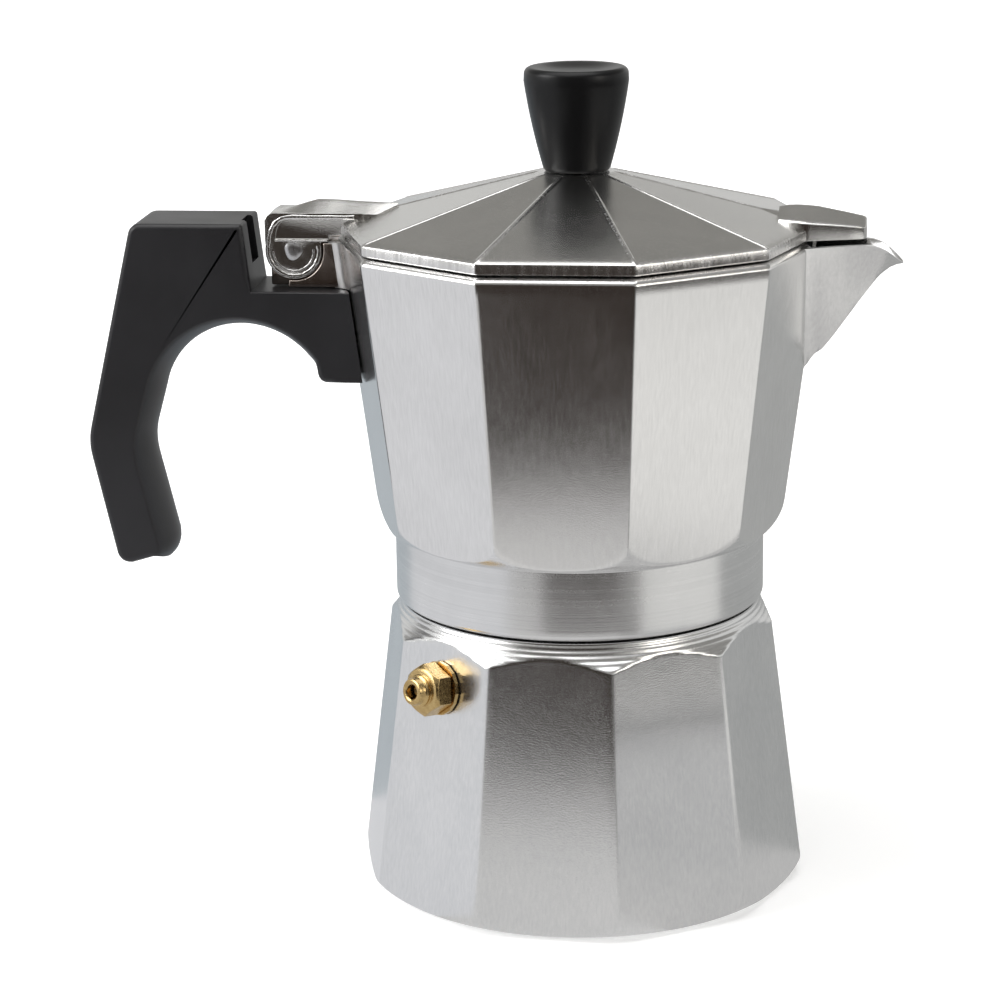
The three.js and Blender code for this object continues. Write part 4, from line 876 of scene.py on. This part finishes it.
def make_tab():
    """Gabled tab over the spout: its ridge runs on from the lid's own."""
    bottom = LID["bottom"]
    table = [  # distance from the axis, half width, edge height, ridge height
        (40.0, 6.4, 137.35, 139.05), (42.0, 7.6, 137.2, 139.35), (43.6, 8.35, 137.1, 139.4),
        (44.8, 8.7, 137.0, 139.35), (46.2, 8.4, 136.85, 139.25), (47.8, 8.0, 136.7, 139.1),
        (50.5, 7.3, 136.45, 138.55), (53.5, 6.5, 136.1, 137.95), (55.5, 6.0, 135.9, 137.5),
        (56.4, 5.6, 135.8, 137.3), (56.9, 5.1, 135.75, 137.15), (57.2, 4.3, 135.75, 136.9),
        (57.3, 3.0, 135.8, 136.6)]
    sections = []
    for drawn_x, half, drawn_edge, drawn_ridge in table:
        edge, ridge = drawn_edge + LIFT_Z, drawn_ridge + LIFT_Z
        side = [(half, bottom + 0.1), (half, edge - 0.25), (half, edge)]
        side += [(half - 0.25, edge + 0.2)]
        side += straight((half - 0.25, edge + 0.2), (0, ridge), np.linspace(0.12, 0.94, 7))
        sections.append(mirrored(SHIFT_X + drawn_x, side + [(0, ridge - 0.03)]))
    tab = bevelled(lofted("lid_tab", sections, [LID_CAST], 30), 0.22, 2, 30, 40)
    place(tab, "lid", "lid_aluminium")
    # The point of the arrow, run out on the ridge of the roof.
    start, end = 35.5, 41.0
    sections = []
    for t in np.linspace(0, 1, 8):
        x = start + (end - start) * t
        half = 0.15 + 6.6 * t
        ridge = lid_ridge(x) + 0.55 * t + 0.02
        edge = lid_ridge(x) - half * 0.10 - 0.4 * t
        side = [(half, edge - 1.5), (half, edge)]
        side += straight((half, edge), (0, ridge), np.linspace(0.2, 1, 5))
        sections.append(mirrored(x, side))
    place(lofted("lid_tab_point", sections, [LID_CAST], 40), "lid", "lid_aluminium")


def make_arm():
    px, pz = PIN[0], PIN[2]
    half_width = 5.0
    rear, top = px - 5.7, pz + 7.6
    seam, bottom = RIM_Z - 0.8, LID["bottom"]
    front = -LID["corner"] + 6
    step = -BODY["rim"] - 0.8
    # Outline: the step over the rim, the lobe round the pin, and the rounded tail.
    outline = [(front, bottom), (step, bottom), (step, seam), (px + 5.35, seam)]
    outline += arc((px, pz), 5.7, 19, -190, 40)
    outline += [(rear, seam + 0.3), (rear, top - 1.5), (rear + 0.5, top - 0.6), (rear + 1.5, top),
                (front, top)]
    arm = plate("lid_arm", outline, half_width, [LID_CAST])
    slot = plate("slot", [(rear - 5, pz - 8), (px + 5.7, pz - 8), (px + 5.7, pz + 5.92),
                          (rear - 5, pz + 5.92)], 2.75, [CASTING])
    hole = turned("hole", [(0, -8), (1.65, -8), (1.65, 8), (0, 8)], [CASTING], 40)
    hole.data.transform(Matrix.Translation((px * MM, 0, pz * MM)) @ Matrix.Rotation(math.pi / 2, 4, "X"))
    shape = [(px + 13.1, pz + 2.4), (px + 13.1, pz + 6.3), (px - 1.2, pz + 6.3)]
    shape += list(bezier((px - 1.8, pz + 6.25), (px - 3.5, pz + 5.2), (px - 3.6, pz + 2.4), 9))
    recesses = [plate("recess", shape, 0.3, [CASTING], side * half_width) for side in (-1, 1)]
    carve(arm, slot, hole, *recesses)
    bevelled(arm, 0.22, 3, 35, 45)
    place(arm, "lid", "lid_aluminium")
    make_arm_beads(px, pz, half_width)
    make_arm_gable(px, pz)


def make_arm_beads(px, pz, half_width):
    """A raised bead round the lobe, up the tail and along the top, and the parting line under the recess."""
    lobe = arc((px, pz), 5.15, 12, -172, 40)
    tail = list(bezier((px - 5.15, pz + 0.6), (px - 4.9, pz + 6.2), (px - 1.2, pz + 6.75), 16))
    line = [(px + x, pz + 6.8) for x in np.linspace(0, 12.5, 8)]
    ring = arc((px, pz), 4.1, 5, -178, 40)
    parting = [(px + x, pz + 2.05) for x in np.linspace(-3.7, 6.9, 30)]
    for side, name in ((-1, "near"), (1, "far")):
        beads = (("edge", lobe + tail + line, 0.42, 0.17), ("ring", ring, 0.22, 0.12),
                 ("parting", parting, 0.2, 0.12))
        for kind, path, width, height in beads:
            piece = bead("arm_" + kind + "_" + name, path, width, height, side * (half_width - 0.02))
            place(piece, "lid", "lid_aluminium")


def make_arm_gable(px, pz):
    """Gable of the arm, from its tail to the ridge of the roof."""
    table = [  # distance from the pin, half width, edge height, ridge height
        (-4.0, 4.6, 7.45, 7.55), (-2.0, 4.85, 7.5, 7.9), (0.5, 4.9, 7.5, 8.6), (2.6, 4.9, 7.5, 9.25),
        (4.6, 4.9, 7.5, 9.75), (8.0, 4.9, 7.5, 9.7), (11.0, 4.9, 7.5, 9.5), (14.3, 4.9, 7.45, 9.3),
        (17.0, 4.2, 7.3, 9.2), (20.6, 0.5, 8.7, 9.05)]
    sections = []
    for dx, half, edge, ridge in table:
        side = [(half, pz + edge - 0.8), (half, pz + edge)]
        side += straight((half, pz + edge), (0, pz + ridge), np.linspace(0.15, 0.9, 6))
        sections.append(mirrored(px + dx, side + [(0, pz + ridge - 0.04)]))
    place(lofted("arm_gable", sections, [LID_CAST], 30), "lid", "lid_aluminium")


def make_knob():
    base = KNOB_Z
    top = high("knob")[2]
    profile = [(2.3, base + 0.9), (2.2, base), (6.4, base)]
    profile += list(bezier((6.7, base + 0.4), (9.2, base + 9.135), (10.4, top - 2.7), 28))
    profile += arc((9.0, top - 1.35), 1.35, 12, 90, 12)
    # The dished top, then the socket for the insert.
    profile += [(8.3, top - 0.05), (7.6, top - 0.16), (6.4, top - 0.42), (4.8, top - 0.72), (3.0, top - 0.92),
                (0, top - 1)]
    profile += [(0, base + 10.6), (3.1, base + 10.6), (3.2, base + 10.4), (3.2, base + 1), (2.3, base + 1)]
    knob = turned("knob_body", profile, [KNOB_PLASTIC], 128, loop=True)
    place(knob, "lid", "knob_plastic", "knob")


# ------------------------------------------------------------------ handle
# Radius of the finger arch at its crown, and on the side faces.
ARCH_CROWN, ARCH_SIDE = 18, 19.7


def edge_points(kind, points):
    """The points with the kind of edge they lie on: o is outer, i is inner and crowned, n is hidden."""
    return [(x, z, kind) for x, z in points]


def handle_outline():
    """Outline of the handle seen from the side, as (x, z, kind of edge)."""
    px, pz = PIN[0], PIN[2]
    top = high("handle")[2]
    arch_z = LEDGE_Z - 25.2
    leg_x = -BODY["rim"] - 3.5
    leg_angle = math.asin((LEG_BOTTOM_Z + 2 - arch_z) / ARCH_CROWN)
    arch_x = leg_x - ARCH_CROWN * math.cos(leg_angle)
    back = arch_x - ARCH_CROWN
    notch = px - 9.08 + 1.5 * (pz - LEDGE_Z) / (top - LEDGE_Z)
    outer = back - 2.9
    knee = (back - 13.4, arch_z - 6.3)
    foot_x, foot_z = knee[0] + 5.8, low("handle")[2]
    points = edge_points("n", [(-body_corner(LEG_BOTTOM_Z) + 6, LEG_BOTTOM_Z),
                               (-body_corner(LEDGE_Z) + 6, LEDGE_Z), (notch, LEDGE_Z)])
    # Up the wall of the notch, along the top and round the outer corner.
    corner_end = (outer - 0.75, top - 2.3)
    points += edge_points("o", straight((notch, LEDGE_Z), (notch - 1.5, top), (0.2, 0.5, 0.8, 0.94)))
    points += edge_points("o", [(notch - 1.5, top - 0.3)])
    points += edge_points("o", straight((notch - 1.9, top), (outer + 2, top), (0, 0.25, 0.5, 0.75, 1)))
    points += edge_points("o", bezier((outer + 2, top), (outer - 0.3, top), corner_end, 8)[1:])
    # Down the back to the knee, round it, and on to the foot.
    knee_start, knee_end = (knee[0] + 0.35, knee[1] + 3), (knee[0] + 0.35, knee[1] - 3)
    foot_start, foot_end = (foot_x - 1.1, foot_z + 2.2), (foot_x + 2, foot_z + 0.2)
    points += edge_points("o", straight(corner_end, knee_start, (0.15, 0.3, 0.45, 0.6, 0.75, 0.9, 1)))
    points += edge_points("o", bezier(knee_start, (knee[0] - 0.3, knee[1]), knee_end, 8)[1:])
    points += edge_points("o", straight(knee_end, foot_start, (0.25, 0.5, 0.75, 1)))
    points += edge_points("o", bezier(foot_start, (foot_x - 0.4, foot_z), foot_end, 7)[1:])
    points += edge_points("o", straight(foot_end, (foot_x + 6.4, foot_z + 1.5), (0.3, 0.6, 1)))
    # Up the inner side, past the knee, into the finger arch.
    inner_foot = (foot_x + 7.75, foot_z + 4.5)
    below_knee, above_knee = (back - 3.4, arch_z - 12), (back - 3.2, arch_z - 2.7)
    arch = arc((arch_x, arch_z), ARCH_SIDE, 168, math.degrees(leg_angle) + 6, 34)
    points += edge_points("i", bezier((foot_x + 6.9, foot_z + 1.65), (foot_x + 8.1, foot_z + 2.2),
                                      inner_foot, 7)[1:])
    points += edge_points("i", straight(inner_foot, below_knee, (0.2, 0.4, 0.6, 0.8, 1)))
    points += edge_points("i", bezier(below_knee, (back - 4.55, arch_z - 7.1), above_knee, 9)[1:])
    points += edge_points("i", bezier(above_knee, (back - 2.3, arch_z + 0.5), arch[0], 7)[1:-1])
    points += edge_points("i", arch)
    # The leg's bottom corner.
    points += edge_points("o", bezier((leg_x + 0.35, LEG_BOTTOM_Z + 2.4), (leg_x + 0.5, LEG_BOTTOM_Z),
                                      (leg_x + 2.6, LEG_BOTTOM_Z), 7))
    points += edge_points("n", [(leg_x + 5, LEG_BOTTOM_Z)])
    return points


def inward_normals(outline):
    """For each point of a closed outline, the direction in which both its edges move inward by one."""
    following = np.roll(outline, -1, 0)
    area = 0.5 * np.sum(outline[:, 0] * following[:, 1] - following[:, 0] * outline[:, 1])
    edge = following - outline
    edge /= np.maximum(np.linalg.norm(edge, axis=1, keepdims=True), 1e-6)
    normal = np.stack([-edge[:, 1], edge[:, 0]], 1) * (1 if area > 0 else -1)
    inward = normal + np.roll(normal, 1, 0)
    return inward / np.maximum(np.linalg.norm(inward, axis=1, keepdims=True), 0.5)


def make_handle():
    outline = handle_outline()
    base = np.array([(x, z) for x, z, _ in outline])
    inward = inward_normals(base)
    half, edge_round, crown = 9.0, 1.05, 2.3
    across = [0, 1.6, 3.2, 4.8, 6.2, 7.3]
    across += [half - edge_round + edge_round * math.sin(t) for t in np.radians([0, 20, 40, 55, 70, 82, 90])]
    sections = []
    for y in sorted({-a for a in across} | set(across)):
        over = max(abs(y) - (half - edge_round), 0) / edge_round
        rounded = edge_round * (1 - math.sqrt(max(1 - over * over, 0)))
        section = []
        for (x, z), (nx, nz), (_, _, kind) in zip(base, inward, outline):
            inset = rounded * (1.0 if kind == "o" else 0.35)
            if kind == "i":
                inset -= crown * (1 - (y / half) ** 2)
            section.append((x + nx * inset, y, z + nz * inset))
        sections.append(section)

    def side_face(section):
        """A second, smaller outline that keeps the side face flat up to its rounded edge."""
        return [(x + nx * 0.35, y, z + nz * 0.35) for (x, y, z), (nx, nz) in zip(section, inward)]

    sections = [side_face(sections[0])] + sections + [side_face(sections[-1])]
    handle = triangulated(lofted("handle_grip", sections, [HANDLE_PLASTIC], 35))
    carve(handle, *handle_cuts())
    shade(triangulated(handle))
    place(handle, "collector", "black_plastic", "handle")


def handle_cuts():
    """What is cut out of the handle: room for the body, the arm's ridge, the rib and the screw."""
    theta = ring_angles(spacing=3)
    rings = [(facet_radius(theta, body_corner(z) + 0.5, rounding=0.5), z) for z in (60, 160)]
    clearance = ring_surface("body_clearance", theta, rings, [HANDLE_PLASTIC])
    px, pz = PIN[0], PIN[2]
    ridge_height = 9.8
    opening = math.radians(LID["opening"])
    ridge = (high("handle")[2] - pz - ridge_height * math.cos(opening)) / math.sin(opening)
    sweep = math.hypot(ridge, ridge_height) + 0.4
    groove = plate("groove", [(px, pz)] + arc((px, pz), sweep, 99, 198, 30), 3.2, [HANDLE_PLASTIC])
    slot_x = -BODY["rim"] - 2.05
    slot = plate("rib_slot", [(slot_x, LEG_BOTTOM_Z + 5.7), (-30, LEG_BOTTOM_Z + 5.7), (-30, LEDGE_Z + 5),
                              (slot_x, LEDGE_Z + 5)], 2.55, [HANDLE_PLASTIC])
    screw_x = (low("handle_screw")[0] + high("handle_screw")[0]) / 2
    wide = (high("handle_washer")[0] - low("handle_washer")[0]) / 2 + 0.3
    deep = high("handle_washer")[2] + 0.3
    bore = turned("screw_bore", [(0, LEG_BOTTOM_Z - 1), (wide, LEG_BOTTOM_Z - 1), (wide, deep), (1.3, deep),
                                 (1.3, LEG_BOTTOM_Z + 7), (0, LEG_BOTTOM_Z + 7)], [HANDLE_PLASTIC], 48,
                  centre=(screw_x, 0))
    return clearance, groove, slot, bore


# ------------------------------------------------------------------ pieces carried over from the frame
def dress(names, material, bevel=0.0):
    """Gives nodes of the frame a material, and a small bevel on their sharp edges."""
    for name in names:
        obj = bpy.data.objects[name]
        obj.data.materials.clear()
        obj.data.materials.append(material)
        if bevel:
            modifier = obj.modifiers.new("edge", "BEVEL")
            modifier.width = bevel * MM
            modifier.segments = 2
            modifier.limit_method = "ANGLE"
            modifier.angle_limit = math.radians(40)


make_boiler()
make_valve()
make_funnel()
make_plate("funnel_filter_disc", "funnel_filter", "funnel")
make_plate("filter_disc", "filter_plate", "filter_plate")
make_gasket()
make_column()
make_collector()
make_spout()
make_lug()
make_rib()
make_pin()
make_lid()
make_tab()
make_arm()
make_knob()
make_handle()
dress(["valve_washer"], BRASS, 0.08)
dress(["valve_seat", "valve_poppet"], BRASS, 0.05)
dress(["valve_spring", "handle_washer", "handle_screw", "knob_washer", "knob_screw"], STEEL)
dress(["knob_insert"], BRASS)


# ------------------------------------------------------------------ floor, light and camera
# Height of the cards over the floor, and points along each card's edge.
CARD_LIFT, CARD_POINTS = 0.001, 24
FLOOR_HALF = 4


def staged(name, vertices, faces, material):
    """A floor or card, in metres."""
    mesh = bpy.data.meshes.new(name)
    mesh.from_pydata(vertices, [], faces)
    mesh.materials.append(material)
    obj = bpy.data.objects.new(name, mesh)
    bpy.context.scene.collection.objects.link(obj)
    return obj


def floor_material():
    """Pale, and brighter away from the pot, so that its soft shadow shows and the far floor stays white."""
    material, nodes, shader, place_of = new_material("floor_pale", 0.0)
    cloud = nodes.noise(place_of, (3, 3, 3), 2.0)
    nodes.link(nodes.mixed(cloud, (0.9, 0.9, 0.9), (0.88, 0.88, 0.88)), shader.inputs["Base Color"])
    shader.inputs["Roughness"].default_value = 0.8
    shader.inputs["Specular IOR Level"].default_value = 0.1
    shader.inputs["Emission Color"].default_value = (1, 1, 1, 1)
    reach = nodes.add("ShaderNodeVectorMath", operation="LENGTH")
    nodes.link(nodes.add("ShaderNodeTexCoord").outputs["Object"], reach.inputs[0])
    glow = nodes.scaled(reach.outputs["Value"], (0.12, 0.6), (0.33, 0.6))
    nodes.link(glow, shader.inputs["Emission Strength"])
    return material


def glow_material(name, colour):
    material = bpy.data.materials.new(name)
    material.use_nodes = True
    tree = material.node_tree
    tree.nodes.clear()
    glow = tree.nodes.new("ShaderNodeEmission")
    glow.inputs["Color"].default_value = (*colour, 1)
    glow.inputs["Strength"].default_value = 1.0
    out = tree.nodes.new("ShaderNodeOutputMaterial")
    tree.links.new(glow.outputs[0], out.inputs["Surface"])
    return material


def only_reflected(obj):
    """Hides a sheet from everything but reflections."""
    obj.visible_camera = obj.visible_diffuse = obj.visible_shadow = False
    obj.visible_transmission = obj.visible_volume_scatter = False


def ring_points(radius, start, end, z):
    return [(x, y, z) for x, y in arc((0, 0), radius, start, end, CARD_POINTS)]


def reflected_card(name, start, end, inner, outer, colour):
    """A sector of a ring on the floor that only reflections see, between two angles in degrees."""
    points = ring_points(inner, start, end, CARD_LIFT) + ring_points(outer, end, start, CARD_LIFT)
    only_reflected(staged(name, points, [tuple(range(len(points)))], glow_material(name, colour)))


def reflected_wall(name, start, end, radius, height, colour):
    """A curved upright card that only reflections see, between two angles in degrees."""
    points = ring_points(radius, start, end, CARD_LIFT) + ring_points(radius, start, end, height)
    faces = [(i, i + 1, i + 1 + CARD_POINTS, i + CARD_POINTS) for i in range(CARD_POINTS - 1)]
    only_reflected(staged(name, points, faces, glow_material(name, colour)))


def area_light(name, position, target, size, power, colour=(1, 1, 1)):
    light = bpy.data.lights.new(name, "AREA")
    light.shape = "RECTANGLE"
    light.size, light.size_y = size
    light.energy = power
    light.color = colour
    obj = bpy.data.objects.new(name, light)
    bpy.context.scene.collection.objects.link(obj)
    obj.location = position
    obj.rotation_euler = (Vector(target) - Vector(position)).to_track_quat("-Z", "Y").to_euler()


def make_world():
    """A pale room, light round the horizon and darker overhead."""
    world = bpy.data.worlds.new("studio")
    bpy.context.scene.world = world
    world.use_nodes = True
    nodes = Nodes(world.node_tree)
    background = world.node_tree.nodes["Background"]
    direction = nodes.add("ShaderNodeTexCoord").outputs["Generated"]
    parts = nodes.add("ShaderNodeSeparateXYZ")
    nodes.link(direction, parts.inputs[0])
    ramp = nodes.add("ShaderNodeValToRGB")
    nodes.link(nodes.scaled(parts.outputs[2], (-0.2, 1.0), (0, 1)), ramp.inputs[0])
    stops = ((0.0, (0.62, 0.62, 0.62)), (0.25, (0.68, 0.68, 0.67)), (0.385, (0.85, 0.85, 0.84)),
             (0.47, (0.32, 0.315, 0.3)), (0.68, (0.25, 0.245, 0.23)), (1.0, (0.5, 0.5, 0.5)))
    while len(ramp.color_ramp.elements) < len(stops):
        ramp.color_ramp.elements.new(0.5)
    for element, (position, colour) in zip(ramp.color_ramp.elements, stops):
        element.position = position
        element.color = (*colour, 1)
    nodes.link(ramp.outputs["Color"], background.inputs["Color"])
    background.inputs["Strength"].default_value = 1.0


def make_camera():
    data = bpy.data.cameras.new("camera")
    data.sensor_width = 36
    data.lens = 109.63
    data.clip_start, data.clip_end = 0.05, 20
    camera = bpy.data.objects.new("camera", data)
    bpy.context.scene.collection.objects.link(camera)
    heading, pitch, roll = math.radians(96.84), math.radians(-15.02), math.radians(0.79)
    level = math.cos(pitch)
    forward = Vector((math.cos(heading) * level, math.sin(heading) * level, math.sin(pitch)))
    right = forward.cross(Vector((0, 0, 1))).normalized()
    up = right.cross(forward)
    side = right * math.cos(roll) - up * math.sin(roll)
    above = up * math.cos(roll) + right * math.sin(roll)
    rotation = Matrix((side, above, -forward)).transposed()
    camera.matrix_world = Matrix.Translation((0.0554, -0.5974, 0.2394)) @ rotation.to_4x4()
    bpy.context.scene.camera = camera


staged("floor", [(-FLOOR_HALF, -FLOOR_HALF, 0), (FLOOR_HALF, -FLOOR_HALF, 0), (FLOOR_HALF, FLOOR_HALF, 0),
                 (-FLOOR_HALF, FLOOR_HALF, 0)], [(0, 1, 2, 3)], floor_material())
# What the facets see on the floor, sector by sector: start, end, inner and outer distance, colour.
for name, start, end, inner, outer, colour in (
        ("card_front_near", -126, -62, 0.042, 0.18, (0.66, 0.655, 0.65)),
        ("card_front_side", -126, -106, 0.18, 0.36, (0.62, 0.615, 0.61)),
        ("card_front_side_far", -126, -106, 0.36, 3.9, (0.02, 0.012, 0.008)),
        ("card_front", -106, -62, 0.18, 3.9, (0.02, 0.012, 0.008)),
        ("card_right_near", -62, 5, 0.042, 0.18, (0.55, 0.545, 0.54)),
        ("card_right_side", -62, -50, 0.18, 0.45, (0.25, 0.245, 0.24)),
        ("card_right", -50, 5, 0.18, 0.45, (0.84, 0.835, 0.815)),
        ("card_right_far", -62, 5, 0.45, 3.9, (0.1, 0.095, 0.09)),
        ("card_back_right", 5, 80, 0.042, 3.9, (0.4, 0.405, 0.4)),
        ("card_back", 80, 100, 0.042, 3.9, (0.5, 0.5, 0.5)),
        ("card_back_left", 100, 152, 0.042, 3.9, (0.46, 0.5, 0.53)),
        ("card_left", 152, 234, 0.042, 3.9, (0.71, 0.715, 0.735))):
    reflected_card(name, start, end, inner, outer, colour)
# Upright ones: name, start, end, distance, height, colour.
for name, start, end, radius, height, colour in (
        ("wall_front_low", -126, -62, 0.18, 0.015, (0.66, 0.655, 0.65)),
        ("wall_right_low", -60, -24, 0.1, 0.036, (0.5, 0.5, 0.5)),
        ("wall_front_dark", -126, -62, 1.0, 0.5, (0.03, 0.022, 0.017)),
        ("wall_right_dark", -62, -22, 1.0, 0.22, (0.03, 0.025, 0.02))):
    reflected_wall(name, start, end, radius, height, colour)
area_light("top_light", (-0.15, -0.1, 1.5), (0, 0, 0), (1.6, 1.6), 15)
area_light("left_light", (-1.3, -0.5, 0.8), (0, 0, 0.08), (0.9, 0.9), 13)
area_light("right_light", (1.2, -0.75, 0.5), (0, 0, 0.08), (0.5, 0.8), 3, (1.0, 0.95, 0.88))
make_world()
make_camera()
bpy.context.scene.view_settings.view_transform = "Standard"

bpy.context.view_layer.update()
